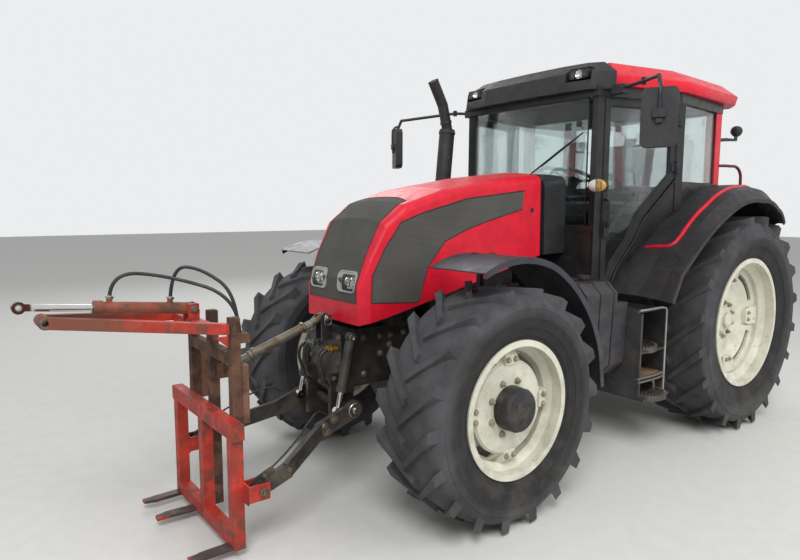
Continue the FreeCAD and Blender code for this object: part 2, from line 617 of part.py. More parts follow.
roof_red = Part.makeLoft([
    Part.makePolygon([V(x, y, z) for x, y in pts + pts[:1]]) for z, pts in (
        (S["roof_base_z"], [(1330, -690), (1330, 690), (700, 850), (-170, 790), (-300, 690), (-300, -690),
                            (-170, -790), (700, -850)]),
        (S["roof_base_z"] + 70, [(1330, -690), (1330, 690), (700, 862), (-190, 800), (-330, 690),
                                 (-330, -690), (-190, -800), (700, -862)]),
        (S["roof_base_z"] + 170, [(1290, -600), (1290, 600), (700, 730), (-150, 680), (-250, 590),
                                  (-250, -590), (-150, -680), (700, -730)]),
        (S["roof_base_z"] + S["roof_high"], [(1060, -380), (1060, 380), (600, 450), (-20, 420), (-80, 360),
                (-80, -360), (-20, -420), (600, -450)]))],
    True, True)
roof_red = roof_red.cut(Part.makeBox(1250, 1240, 60, V(0, -620, S["roof_base_z"] - 5)))
node(feature("roof_shell", roof_red), "cab_roof")
visor = Part.makeLoft([
    Part.makePolygon([V(x, y, z) for x, y in pts + pts[:1]]) for z, pts in (
        (S["roof_base_z"] - 30, [(1332, -690), (1500, -600), (1535, -350), (1545, 0), (1535, 350),
                                 (1500, 600), (1332, 690)]),
        (S["roof_base_z"] + 95, [(1332, -690), (1480, -600), (1520, -350), (1530, 0), (1520, 350),
                                 (1480, 600), (1332, 690)]),
        (S["roof_base_z"] + 172, [(1332, -590), (1395, -500), (1425, -300), (1435, 0), (1425, 300),
                                  (1395, 500), (1332, 590)]))],
    True, True)
plan = [(x, y) for x, y in PLAN] + [(x, -y) for x, y in reversed(PLAN)]
visor = visor.cut(Part.Face(Part.makePolygon([V(x, y, 2300) for x, y in plan + plan[:1]])).extrude(V(0, 0,
        S["roof_base_z"] - 2300)))
visor_lamps = [Part.makeBox(70, 150, 66, V(1430, y - 75, S["roof_base_z"] + 50)) for y in (500, -500)]
visor = visor.cut(Part.makeCompound([Part.makeBox(170, 190, 96, V(1430, y - 95, S["roof_base_z"] + 35))
                                     for y in (500, -500)]))
node(feature("visor_shell", visor), "roof_visor")

g = S["glass"]
quarter = side_slab([(32, 1934), (S["b_pillar_x"] - 32, 1934), (S["b_pillar_x"] - 32, top), (32, top)], -20,
                    -20 + g)
quarter.Placement = quarter_turn
panes = [Part.makeBox(g, 2 * ay - 156, top - 1615, V(ax - 20, -ay + 78, 1615)),
         Part.makeBox(g, 1320, top - 1925, V(-40, -660, 1925)), quarter,
         quarter.mirror(V(0, 0, 0), V(0, 1, 0))]
fender_room = under_fender.copy()
fender_room.translate(V(0, 0, 0.4))
panes = [sorted(p.cut(cab_frame).cut(fender_room).Solids, key=lambda q: -q.Volume)[0] for p in panes]
node(feature("panes", Part.makeCompound(panes)), "cab_glass")

# doors: a frame with its pane, hinged on the rear pillar
DOOR = [(40, top - 8), (W - 6, top - 8), (W - 6, floor + 12), (622, floor + 12), (557, 1332), (412, 1522),
        (333, 1672), (203, 1802), (40, 1962)]
PANE = [(92, top - 60), (W - 56, top - 60), (W - 56, floor + 64), (650, floor + 64), (600, 1356),
        (452, 1552), (374, 1702), (240, 1838), (92, 1985)]
door_frame = in_door(side_slab(DOOR, -T, 0).cut(side_slab(PANE, -T - 5, 5)))
door_pane = in_door(side_slab(PANE, -T / 2 - g / 2, -T / 2 + g / 2))
door_hinges = []
for z in (2006, 2346):
    barrel_ = Part.makeCylinder(14, 58, V(HINGE[0], HINGE[1], z)).fuse(Part.makeBox(44, 10, 58,
            V(HINGE[0] + 4, 0, z)))
    door_hinges.append(in_door(barrel_.cut(Part.makeCylinder(9.8, 70, V(HINGE[0], HINGE[1], z - 5)))))
node(feature("door_l", joined([door_frame, in_door(Part.makeBox(40, 24, 110, V(W - 52, 0, 1540)))]
                              + door_hinges)), "door_left")
node(feature("door_pane_l", door_pane), "door_left_glass")
twin(NODES[-2][1], "door_right")
twin(NODES[-2][1], "door_right_glass")

node(fuse("seat_sum",
          box("seat_base", 120, -200, 1486, 420, 400, 180),
          box("seat_cushion", 110, -250, 1666, 500, 500, 110),
          pad("seat_back", "xz", -240, 480, [(90, 1700), (210, 1700), (120, 2300), (10, 2290)]),
          box("armrest_l", 190, 250, 1860, 320, 60, 60), box("armrest_link_l", 150, 240, 1776, 60, 30,
                  100)), "driver_seat")
wheel_ring = Part.makeTorus(195, 15)
wheel_ring.Placement = FreeCAD.Placement(V(840, 0, 1960), FreeCAD.Rotation(V(0, 1, 0), -28))
spokes = []
for a in (90, 210, 330):
    s = Part.makeBox(192, 30, 10, V(0, -15, -5))
    s.Placement = FreeCAD.Placement(V(840, 0, 1960), FreeCAD.Rotation(V(0, 1, 0), -28)).multiply(
        FreeCAD.Placement(V(0, 0, 0), FreeCAD.Rotation(V(0, 0, 1), a)))
    spokes.append(s)
column = strut((1085, 0, floor + 30), (1000, 0, 1700), 120, 110)
column2 = strut((1010, 0, 1650), (842, 0, 1962), 60, 60)
node(feature("steering_console_sum",
             joined([wheel_ring, column, column2, Part.makeBox(190, 420, 150, V(1080, -210, 1640)),
                     Part.makeBox(190, 60, 480, V(1090, -30, floor - 2)),
                     Part.makeBox(180, 160, 70, V(1066, -80, floor - 2))] + spokes)),
     "steering_console")

# fenders, tanks, steps
t = S["fender_wall"]
FLAT, SHOULDER, OUT = 905, 1065, S["fender_out"]


def fender_wire(path, y, wall=t):
    w = wire(band(path, wall))
    w.rotate(V(0, 0, 0), V(1, 0, 0), 90)
    w.translate(V(0, y, 0))
    return w


arch = side_slab(band(REAR_FENDER, t), S["fender_in"], FLAT)
brow = Part.makeLoft([fender_wire(REAR_FENDER, FLAT), fender_wire(FENDER_MID, SHOULDER),
                      fender_wire(FENDER_LIP, OUT)], True, True)
lip = Part.makeLoft([fender_wire(FENDER_LIP, OUT - 1, t + 16), fender_wire(FENDER_LIP, OUT + 10, t + 16)],
                    True, True)
inner_wall = side_slab([(20, 1560), (20, 1912), (-277, 1884, -465, 1741), (-534, 1638, -554, 1562),
                        (-500, 1500), (-160, 1500)], S["fender_in"], S["fender_in"] + 12)
rear_fender = feature("rear_fender_l", arch.fuse(inner_wall).fuse(brow).fuse(lip))
rear_fender_r = mirror("rear_fender_r", rear_fender)
node(pair("rear_fender_pair", rear_fender, rear_fender_r), "rear_fenders")

tank = common("tank_form",
              pad("tank_body", "yz", 1330, 470, [(400, 620), (760, 600), (830, 680), (850, 1180),
                      (780, 1250), (400, 1250)]),
              pad("tank_side", "xz", 390, 470, [(1330, 590), (1730, 590), (1790, 660), (1790, 1260),
                      (1456, 1260), (1456, 1105), (1330, 1105)]))
tank_arm = fuse("tank_sum", tank, box("tank_bracket", 1400, 230, 800, 240, 175, 120))
node(pair("tank_pair", tank_arm, mirror("tank_mirror", tank_arm)), "fuel_tanks")
step_part = fuse("step_sum",
                 box("step_box", 1000, 620, 700, 322, 20, 330), box("step_side_f", 1302, 620, 430, 20, 330,
                         600),
                 box("step_side_r", 1000, 620, 430, 20, 330, 600),
                 box("step_top", 1000, 620, 1030, 322, 300, 16), box("step_mid", 1000, 640, 750, 322, 310,
                         16),
                 box("step_low", 1000, 700, 430, 322, 290, 20), box("step_arm", 1322, 700, 900, 8, 60, 60))
node(pair("step_pair", step_part, mirror("step_mirror", step_part)), "cab_steps")

# exhaust, mirrors, lamps
exhaust = joined([
    Part.makeSphere(40, V(1735, -640, 1330)), tube((1735, -640, 1330), (1735, -640, 1700), 42),
    tube((1735, -640, 1700), (1668, -640, 2370), 62), Part.makeSphere(42, V(1668, -640, 2370)),
    tube((1668, -640, 2370), (1720, -640, 2560), 42), Part.makeSphere(42, V(1720, -640, 2560)),
    tube((1720, -640, 2560), (1822, -640, 2735), 42),
    tube((1735, -640, 1330), (1735, -150, 1330), 40)]).cut(Part.makeBox(845, 300, 165, V(1725, -150, 1195)))
node(feature("exhaust_pipes", exhaust), "exhaust_stack")
mirror_arm = joined([
    tube((1330, 740, 2540), (1345, 900, 2560), 12), tube((1345, 900, 2560), (1700, 1210, 2500), 12),
    tube((1700, 1210, 2500), (1720, 1240, 2420), 12),
    Part.makeSphere(12, V(1345, 900, 2560)), Part.makeSphere(12, V(1700, 1210, 2500)),
    tube((1720, 1240, 2420), (1720, 1240, 2160), 12),
    Part.makeBox(60, 110, 60, V(1300, 650, 2505))]).cut(cab_frame).cut(visor).cut(roof_red)
mirror_arm = sorted(mirror_arm.Solids, key=lambda q: -q.Volume)[0]
head = Part.makeBox(58, 200, 336, V(-29, -100, 0))
head = head.makeFillet(34, [e for e in head.Edges if abs(e.Vertexes[0].Y - e.Vertexes[1].Y) < 1
                            and abs(e.Vertexes[0].Z - e.Vertexes[1].Z) < 1])
head.Placement = FreeCAD.Placement(V(1724, 1238, 2088), FreeCAD.Rotation(V(0, 0, 1), 28))
head = Part.makeCompound([head]).Solids[0]
node(pair("mirror_pair", feature("mirror_l", joined([mirror_arm, head])),
          mirror("mirror_r", doc.getObject("mirror_l"))), "mirrors")
side_lamp = joined([Part.makeBox(60, 90, 60, V(1440, 605, 1868)),
                    Part.makeBox(24, 30, 24, V(1425, 580, 1880))]).cut(cab_frame)
side_lamp = sorted(side_lamp.Solids, key=lambda q: -q.Volume)[0]
rear_lamp = Part.makeBox(24, 150, 80, V(-566, 720, 1570)).fuse(Part.makeBox(70, 30, 30,
        V(-548, 780, 1595))).cut(arch)
rear_lamp = sorted(rear_lamp.Solids, key=lambda q: -q.Volume)[0]
node(feature("lamp_set", Part.makeCompound(visor_lamps + [side_lamp,
        side_lamp.mirror(V(0, 0, 0), V(0, 1, 0)), rear_lamp, rear_lamp.mirror(V(0, 0, 0), V(0, 1, 0))])),
     "lamps")

# front linkage
PX, PZ = S["lift_pivot_x"], S["lift_pivot_z"]
HX, HZ = PX + S["lift_arm_run"], PZ - S["lift_arm_drop"]
RISE, HOOK, ROOT = S["toplink_rise"], S["hook_y"], S["arm_root_y"]
TX, TZ = S["toplink_x"], S["toplink_z"]


def on_arm(x):
    return PZ - S["lift_arm_drop"] * (x - PX) / S["lift_arm_run"]


def along(shape, x, y, z, pitch):
    """Drawn along +X from its pivot, then set in place; pitch is nose down."""
    shape.Placement = FreeCAD.Placement(V(x, y, z),
                                        FreeCAD.Rotation(V(0, 1, 0), pitch)).multiply(shape.Placement)
    return shape


RAM_TOP = (PX - 10, PZ + 420.5)
RAM_FOOT = (PX + 85, on_arm(PX + 85) + 24)
arm_parts = []
for side in (1, -1):
    arm_parts += [
        strut((PX, side * ROOT, PZ), (PX + 240, side * ROOT, on_arm(PX + 240)), 30, 96),
        strut((PX + 225, side * ROOT, on_arm(PX + 225)), (HX - 150, side * HOOK, on_arm(HX - 150)), 30, 90),
        strut((HX - 165, side * HOOK, on_arm(HX - 165)), (HX - 30, side * HOOK, on_arm(HX - 30)), 34, 80),
        Part.makeCylinder(56, 30, V(PX, side * ROOT - 15, PZ), V(0, 1, 0)),
        Part.makeCylinder(46, 44, V(HX, side * HOOK - 22, HZ), V(0, 1, 0)),
        Part.makeCylinder(8, 60, V(RAM_FOOT[0], side * (ROOT - 36) - 30, RAM_FOOT[1]), V(0, 1, 0))]
arms_solid = joined(arm_parts + [Part.makeCylinder(28, 2 * ROOT, V(PX, -ROOT, PZ), V(0, 1, 0))])
for side in (1, -1):
    arms_solid = arms_solid.cut(Part.makeCylinder(30, 60, V(HX, side * HOOK - 30, HZ), V(0, 1, 0)))
node(feature("front_arms", arms_solid), "front_lift_arms")
link_long = math.hypot(HX - TX, TZ - HZ - RISE)
link_pitch = math.degrees(math.atan2(TZ - HZ - RISE, HX - TX))
top_link = joined([Part.makeCylinder(19, link_long - 36, V(18, 0, 0), V(1, 0, 0)),
                   Part.makeCylinder(27, link_long - 300, V(150, 0, 0), V(1, 0, 0)),
                   Part.makeCylinder(30, 50, V(0, -25, 0), V(0, 1, 0)),
                   Part.makeCylinder(30, 50, V(link_long, -25, 0), V(0, 1, 0))])
top_link = along(top_link.cut(Part.makeCylinder(12.8, 60, V(0, -30, 0),
        V(0, 1, 0))).cut(Part.makeCylinder(14, 60, V(link_long, -30, 0), V(0, 1, 0))), TX, 0, TZ,
        link_pitch)
node(feature("front_toplink", top_link), "front_top_link")


ram_long = math.hypot(RAM_FOOT[0] - RAM_TOP[0], RAM_FOOT[1] - RAM_TOP[1])
ram_pitch = math.degrees(math.atan2(RAM_TOP[1] - RAM_FOOT[1], RAM_FOOT[0] - RAM_TOP[0]))
barrels, rods = [], []
for side in (1, -1):
    y = side * (ROOT - 40)
    b = joined([Part.makeCylinder(30, 32, V(0, -16, 0), V(0, 1, 0)), Part.makeCylinder(28, 300, V(20, 0, 0),
            V(1, 0, 0)), Part.makeCylinder(31, 30, V(290, 0, 0), V(1, 0, 0))])
    b = b.cut(Part.makeCylinder(12.6, 40, V(0, -20, 0), V(0, 1, 0))).cut(Part.makeCylinder(16, 240,
            V(90, 0, 0), V(1, 0, 0)))
    r_ = joined([Part.makeCylinder(15, ram_long - 20 - 190, V(190, 0, 0), V(1, 0, 0)),
                 Part.makeCylinder(28, 32, V(ram_long, -16, 0), V(0, 1, 0))])
    r_ = r_.cut(Part.makeCylinder(16, 40, V(ram_long, -20, 0), V(0, 1, 0)))
    barrels.append(along(b, RAM_TOP[0], y, RAM_TOP[1], ram_pitch))
    rods.append(along(r_, RAM_TOP[0], y, RAM_TOP[1], ram_pitch))
node(feature("ram_barrels", Part.makeCompound(barrels)), "front_lift_rams")
node(feature("ram_rods", Part.makeCompound(rods)), "front_lift_ram_rods")

# support casting at the nose: pivot plates, ears of the top link and pins of the rams
nose = joined([
    Part.makeBox(560, 360, 348, V(2570, -180, 672)), Part.makeBox(90, 360, 360, V(3130, -180, 640)),
    Part.makeBox(160, 30, 300, V(3115, 120, 460)), Part.makeBox(160, 30, 300, V(3115, -150, 460)),
    Part.makeBox(66, 16, 150, V(TX - 32, 30, TZ - 134)),
    Part.makeBox(66, 16, 150, V(TX - 32, -46, TZ - 134)),
    Part.makeCylinder(12, 100, V(TX, -50, TZ), V(0, 1, 0)),
    Part.makeCylinder(12, 2 * ROOT - 40, V(RAM_TOP[0], -ROOT + 20, RAM_TOP[1]), V(0, 1, 0))])
nose = nose.cut(Part.makeCylinder(29, 400, V(PX, -200, PZ), V(0, 1, 0)))
node(feature("front_casting", nose), "front_support")

# lifting frame
MB = S["mast_box"]
MX = HX + 35
CX = MX + MB
masts = []
for y, low in ((S["mast_y"], 610), (0, 115), (-S["mast_y"], 610)):
    masts.append(Part.makeBox(MB, MB, S["mast_top_z"] - low, V(MX, y - MB / 2, low)))
masts += [Part.makeBox(MB, 2 * S["mast_y"], 60, V(MX, -S["mast_y"], 950)),
          Part.makeBox(95, 12, 80, V(HX - 40, 27, HZ + RISE - 40)),
          Part.makeBox(95, 12, 80, V(HX - 40, -39, HZ + RISE - 40)),
          Part.makeBox(20, 78, 80, V(MX, -39, HZ + RISE - 40)),
          Part.makeCylinder(12, 100, V(HX, -50, HZ + RISE), V(0, 1, 0)),
          Part.makeBox(50, 110, 46, V(MX - 50, S["mast_y"] - 85, 1060))]
node(feature("masts_welded", joined(masts)), "lift_frame_masts")
CB = 60
carriage = [Part.makeBox(CB, 900, 80, V(CX, -450, 610)), Part.makeBox(CB, 860, 70, V(CX, -430, 45))]
for y in (-397, 0, 397):
    carriage.append(Part.makeBox(CB, 62, 500, V(CX, y - 31, 112)))
for y in (-HOOK, HOOK):
    carriage += [Part.makeBox(MX + MB - HX + 35, 12, 84, V(HX - 35, y - 50, HZ - 42)),
                 Part.makeBox(MX + MB - HX + 35, 12, 84, V(HX - 35, y + 38, HZ - 42)),
                 Part.makeBox(8, 100, 100, V(CX - 8, y - 50, HZ - 50)),
                 Part.makeCylinder(14, 112, V(HX, y - 56, HZ), V(0, 1, 0)),
                 Part.makeCylinder(29, 40, V(HX, y - 20, HZ), V(0, 1, 0))]
for y in (-380, -130, 380):
    carriage.append(Part.makeBox(250, 40, 16, V(CX + 20, y - 20, 45)))
node(feature("carriage_welded", joined(carriage)), "lift_frame_carriage")
TIP = (4710, 1214)
grab = []
for side in (1, -1):
    grab.append(strut((MX, side * S["mast_y"], 1128), (TIP[0], side * 42, TIP[1]), 44, 54))
grab += [Part.makeBox(60, 470, 46, V(S["grab_pivot_x"] - 40, -235, 1112)),
         Part.makeBox(56, 12, 115, V(S["grab_pivot_x"] - 28, 33, S["grab_pivot_z"] - 88)),
         Part.makeBox(56, 12, 115, V(S["grab_pivot_x"] - 28, -45, S["grab_pivot_z"] - 88)),
         Part.makeCylinder(12, 100, V(S["grab_pivot_x"], -50, S["grab_pivot_z"]), V(0, 1, 0)),
         Part.makeCylinder(30, 130, V(TIP[0], -65, TIP[1]), V(0, 1, 0))]
grab_solid = joined(grab).cut(Part.makeCylinder(14, 140, V(TIP[0], -70, TIP[1]), V(0, 1, 0)))
node(feature("grab_arms", grab_solid.cut(joined(masts))), "lift_frame_arms")

GB, GR, GO = S["grab_barrel"], S["grab_barrel_r"], S["grab_rod_out"]
barrel = joined([Part.makeCylinder(26, 56, V(0, -28, 0), V(0, 1, 0)),
                 Part.makeCylinder(GR, GB - 20, V(20, 0, 0), V(1, 0, 0)),
                 Part.makeCylinder(GR + 5, 40, V(GB - 40, 0, 0), V(1, 0, 0)),
                 Part.makeCylinder(14, GR + 22, V(110, 0, 0), V(0, 0, 1)),
                 Part.makeCylinder(14, GR + 22, V(400, 0, 0), V(0, 0, 1))])
barrel = barrel.cut(Part.makeCylinder(13, 60, V(0, -30, 0), V(0, 1, 0))).cut(Part.makeCylinder(18, GB,
        V(42, 0, 0), V(1, 0, 0)))
grab_rod = joined([Part.makeCylinder(17, GO + 140, V(GB - 160, 0, 0), V(1, 0, 0)),
                   Part.makeCylinder(28, 44, V(GB + GO, -22, 0), V(0, 1, 0))])
grab_rod = grab_rod.cut(Part.makeCylinder(13, 60, V(GB + GO, -30, 0), V(0, 1, 0)))
for shape, name in ((barrel, "grab_cylinder"), (grab_rod, "grab_cylinder_rod")):
    node(feature(name + "_solid", along(shape, S["grab_pivot_x"], 0, S["grab_pivot_z"], -S["grab_pitch"])),
         name)

# rear linkage
RX, RZ = S["rear_link_x"], S["rear_link_z"]
EX, EZ = RX - S["rear_link_run"], RZ - 60
links, lifts, hang = [], [], []
LIFT = (-200, 1010)
LIFT_TIP = (-540, 1045)
for side in (1, -1):
    link = joined([strut((RX, side * 275, RZ), (EX + 25, side * S["rear_link_y"], EZ), 26, 70),
                   Part.makeCylinder(42, 26, V(RX, side * 275 - 13, RZ), V(0, 1, 0)),
                   Part.makeCylinder(44, 40, V(EX, side * S["rear_link_y"] - 20, EZ), V(0, 1, 0))])
    link = link.cut(Part.makeCylinder(15, 60, V(RX, side * 275 - 30, RZ),
                                      V(0, 1, 0))).cut(Part.makeCylinder(14.5, 60,
                                              V(EX, side * S["rear_link_y"] - 30, EZ), V(0, 1, 0)))
    links.append(link)
    lift = joined([strut((LIFT[0], side * 282, LIFT[1]), (LIFT_TIP[0], side * 300, LIFT_TIP[1]), 34, 80),
                   Part.makeCylinder(56, 40, V(LIFT[0], side * 282 - 20, LIFT[1]), V(0, 1, 0)),
                   Part.makeCylinder(13, 70, V(LIFT_TIP[0], side * 325 - 35, LIFT_TIP[1]), V(0, 1, 0))])
    lifts.append(lift.cut(Part.makeCylinder(35, 60, V(LIFT[0], side * 282 - 30, LIFT[1]), V(0, 1, 0))))
    foot_x = LIFT_TIP[0] - 10
    foot = joined([tube((LIFT_TIP[0], side * 345, LIFT_TIP[1] - 20), (foot_x, side * 372, 545), 15),
                   Part.makeCylinder(26, 22, V(foot_x, side * 372 - 11, 534), V(0, 1, 0)),
                   tube((LIFT_TIP[0] - 3, side * 351, 900), (foot_x + 3, side * 364, 720), 27),
                   Part.makeCylinder(30, 26, V(LIFT_TIP[0], side * 345 - 13, LIFT_TIP[1]), V(0, 1, 0))])
    hang.append(foot.cut(Part.makeCylinder(14, 60, V(LIFT_TIP[0], side * 345 - 30, LIFT_TIP[1]),
                                           V(0, 1, 0))))
node(feature("lower_links", Part.makeCompound(links)), "rear_lower_links")
node(feature("lift_arms", Part.makeCompound(lifts)), "rear_lift_arms")
node(feature("lift_rods", Part.makeCompound(hang)), "rear_lift_rods")
UP = (-395, 900)
upper = joined([tube((UP[0], 0, UP[1]), (UP[0] - 560, 0, UP[1] - 90), 17),
                tube((UP[0] - 150, 0, UP[1] - 24), (UP[0] - 410, 0, UP[1] - 66), 27),
                Part.makeCylinder(30, 48, V(UP[0], -24, UP[1]), V(0, 1, 0)),
                Part.makeCylinder(32, 50, V(UP[0] - 580, -25, UP[1] - 93), V(0, 1, 0))])
upper = upper.cut(Part.makeCylinder(14, 60, V(UP[0], -30, UP[1]), V(0, 1, 0))).cut(Part.makeCylinder(13, 60,
        V(UP[0] - 580, -30, UP[1] - 93), V(0, 1, 0)))
node(feature("upper_link", upper), "rear_top_link")
node(feature("power_shaft", Part.makeCylinder(17.5, 140, V(-430, 0, S["pto_z"]),
        V(1, 0, 0)).fuse(Part.makeCylinder(29, 40, V(-338, 0, S["pto_z"]), V(1, 0, 0)))), "pto_shaft")
hitch = joined([Part.makeBox(80, 14, 100, V(-430, 30, UP[1] - 50)),
                Part.makeBox(80, 14, 100, V(-430, -44, UP[1] - 50)),
                Part.makeBox(25, 200, 160, V(-355, -100, UP[1] - 80)),
                Part.makeCylinder(13, 100, V(UP[0], -50, UP[1]), V(0, 1, 0)),
                Part.makeBox(120, 16, 420, V(-450, 130, 360)),
                Part.makeBox(120, 16, 420, V(-450, -146, 360)),
                Part.makeBox(25, 292, 90, V(-355, -146, 520)),
                Part.makeBox(420, 70, 35, V(-620, -35, 395)),
                Part.makeBox(110, 292, 25, V(-440, -146, 370)),
                Part.makeBox(70, 292, 12, V(-420, -146, 780))])
hitch = hitch.cut(Part.makeCylinder(16, 80, V(-590, 0, 380)))
node(feature("hitch_welded", hitch), "rear_hitch")

# casing bores and pins for what swings on it
casing = [obj for label, obj in NODES if label == "transmission_housing"][0]
casing_parts = list(casing.Shapes)
for side in (1, -1):
    casing_parts += [feature("link_pin_%d" % side, Part.makeCylinder(14, 50, V(RX, side * 272 - 25, RZ),
            V(0, 1, 0))),
                     feature("rock_stub_%d" % side,
                             Part.makeCylinder(34, 60, V(LIFT[0], side * 276 - 30, LIFT[1]), V(0, 1, 0)))]
NODES[:] = [n for n in NODES if n[0] not in ("transmission_housing",)]
casing.Placement.Base.x = 0
casing.setExpression("Placement.Base.x", None)
casing.Shapes = casing_parts
node(cut("casing_cut", casing, rod("pto_bore", -340, 0, "pto_z", 30, 60, "x")), "transmission_housing")


# hoses of the lifting frame
def hose(points, r, reach=0.42):
    """Straight runs joined by arcs that are as large as the runs allow."""
    pts = [V(*p) for p in points]
    edges, here = [], pts[0]
    for i in range(1, len(pts) - 1):
        a, b = pts[i - 1] - pts[i], pts[i + 1] - pts[i]
        cut_back = min(a.Length, b.Length) * reach
        a.normalize(), b.normalize()
        p, q = pts[i] + a * cut_back, pts[i] + b * cut_back
        mid_dir = a + b
        mid_dir.normalize()
        half = math.acos(max(-1, min(1, a.dot(b)))) / 2
        radius = cut_back * math.tan(half)
        centre = pts[i] + mid_dir * (cut_back / math.cos(half))
        edges += [Part.LineSegment(here, p).toShape(), Part.Arc(p, centre - mid_dir * radius, q).toShape()]
        here = q
    edges.append(Part.LineSegment(here, pts[-1]).toShape())
    path = Part.Wire(edges)
    d = pts[1] - pts[0]
    ring_ = Part.Wire(Part.Circle(pts[0], d, r).toShape())
    return path.makePipeShell([ring_], True, True)


HOSE_1 = [(4423, 0, 1305.5), (4410, 0, 1425), (4170, 40, 1400), (3872, 250, 1290), (3872, 250, 1106.5)]
HOSE_2 = [(4134, 0, 1277.5), (4120, 0, 1440), (3990, 60, 1425), (3868, 222, 1300), (3868, 222, 1106.5)]
node(feature("hose_long", hose(HOSE_1, 9)), "hose_front_port")
node(feature("hose_short", hose(HOSE_2, 9)), "hose_rear_port")

# check and write
doc.recompute()
bad = [o.Name for o in doc.Objects if any(s in ("Invalid", "Error") for s in o.State)]
if bad:
    raise RuntimeError("failed objects: %s" % bad)
os.makedirs("parts", exist_ok=True)
labels = set()
for label, obj in NODES:
    shape = obj.Shape
    if shape.isNull() or not shape.isValid() or not shape.Solids:
        raise RuntimeError("bad shape: %s" % label)
    if label in labels:
        raise RuntimeError("two sub-parts named %s" % label)
    labels.add(label)
    shape.exportStep("parts/%s.step" % label)
whole = Part.makeCompound([obj.Shape for label, obj in NODES]).BoundBox
print("nodes %d  x %.0f..%.0f  y %.0f..%.0f  z %.0f..%.0f" % (len(NODES), whole.XMin, whole.XMax,
        whole.YMin, whole.YMax, whole.ZMin, whole.ZMax))
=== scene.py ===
import math
import random
import bpy
import bmesh
from mathutils import Vector, Matrix
from mathutils.bvhtree import BVHTree


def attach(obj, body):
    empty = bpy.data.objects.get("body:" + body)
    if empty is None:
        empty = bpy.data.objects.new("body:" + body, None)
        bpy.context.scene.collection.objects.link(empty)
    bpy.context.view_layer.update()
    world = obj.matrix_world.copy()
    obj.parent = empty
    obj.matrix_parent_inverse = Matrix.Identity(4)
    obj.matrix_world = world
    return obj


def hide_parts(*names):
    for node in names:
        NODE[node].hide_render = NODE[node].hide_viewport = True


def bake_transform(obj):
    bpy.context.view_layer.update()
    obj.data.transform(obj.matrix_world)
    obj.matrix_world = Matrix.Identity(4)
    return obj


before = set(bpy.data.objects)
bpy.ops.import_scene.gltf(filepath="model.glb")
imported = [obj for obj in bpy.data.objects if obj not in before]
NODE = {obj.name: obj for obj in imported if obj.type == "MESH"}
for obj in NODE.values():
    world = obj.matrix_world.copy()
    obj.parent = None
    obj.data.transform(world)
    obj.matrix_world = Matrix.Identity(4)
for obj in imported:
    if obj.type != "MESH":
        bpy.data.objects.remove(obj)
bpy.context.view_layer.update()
REAR_AXLE_X = -1.884
SIDES = ((1, "left"), (-1, "right"))


def W(x, y, z):
    """Rear-axle millimetres, as part.py's tables give them, to the frame's metres."""
    return Vector((x / 1000 + REAR_AXLE_X, y / 1000, z / 1000))


def line(s, *points):
    """Points of W on the side s: 1 as given, -1 across the middle."""
    return [W(x, s * y, z) for x, y, z in points]


# camera, with the photo's focal length in its own pixels
PHOTO_WIDTH, FOCAL_PIXELS, SENSOR = 800, 620.93, 36.0


def make_camera():
    cam = bpy.data.cameras.new("camera")
    cam.sensor_width, cam.sensor_fit = SENSOR, "HORIZONTAL"
    cam.lens = FOCAL_PIXELS / PHOTO_WIDTH * SENSOR
    cam.clip_end = 200
    ob = bpy.data.objects.new("camera", cam)
    bpy.context.collection.objects.link(ob)
    yaw, pitch, roll = -2.2285, -0.1151, 0.0025
    ahead = Vector((math.cos(pitch) * math.cos(yaw), math.cos(pitch) * math.sin(yaw), math.sin(pitch)))
    right = Vector((math.sin(yaw), -math.cos(yaw), 0))
    up = right.cross(ahead)
    rolled_right = right * math.cos(roll) + up * math.sin(roll)
    rolled_up = up * math.cos(roll) - right * math.sin(roll)
    m = Matrix((rolled_right, rolled_up, -ahead)).transposed().to_4x4()
    m.translation = Vector((3.2457, 3.2166, 1.7353))
    ob.matrix_world = m
    bpy.context.scene.camera = ob


make_camera()


# light and background
def lamp(name, where, size, watts, aim, mirrored=True):
    d = bpy.data.lights.new(name, "AREA")
    d.shape, d.size, d.energy = "DISK", size, watts
    ob = bpy.data.objects.new(name, d)
    bpy.context.collection.objects.link(ob)
    ob.location = where
    ob.rotation_euler = (Vector(aim) - Vector(where)).to_track_quat("-Z", "Y").to_euler()
    ob.visible_glossy = mirrored


lamp("key", (5.5, 6.0, 8.5), 5.0, 720, (0, 0, 1))
# the fill's disc would show in the door glass
lamp("fill", (-3.0, 7.5, 5.0), 6.0, 380, (-0.5, 0, 1.2), False)
lamp("back", (-2.0, -8.0, 6.5), 6.0, 250, (0, 0, 1))


def add(tree, kind, result, values=None, **settings):
    """A shader node with its settings made and its inputs set or linked; gives back one output."""
    node = tree.nodes.new("ShaderNode" + kind)
    for key, value in settings.items():
        setattr(node, key, value)
    for key, value in (values or {}).items():
        if isinstance(value, bpy.types.NodeSocket):
            tree.links.new(value, node.inputs[key])
        else:
            node.inputs[key].default_value = value
    return node.outputs[result] if node.outputs else node


def make_world():
    """A pale background for camera, glass and mirrored rays, and a dimmer one that lights the scene."""
    world = bpy.data.worlds.new("studio")
    bpy.context.scene.world = world
    world.use_nodes = True
    tree = world.node_tree
    tree.nodes.clear()
    path = tree.nodes.new("ShaderNodeLightPath").outputs
    seen = add(tree, "Math", 0, {0: path["Is Camera Ray"], 1: path["Is Transmission Ray"]},
               operation="MAXIMUM")
    seen = add(tree, "Math", 0, {0: seen, 1: path["Is Glossy Ray"]}, operation="MAXIMUM")
    ambient = add(tree, "Background", 0, {0: (0.95, 0.98, 1.0, 1), 1: 0.54})
    backdrop = add(tree, "Background", 0, {0: (0.93, 0.94, 0.95, 1), 1: 0.9})
    add(tree, "OutputWorld", 0, {0: add(tree, "MixShader", 0, {0: seen, 1: ambient, 2: backdrop})})
    bpy.context.scene.view_settings.view_transform = "Standard"


make_world()


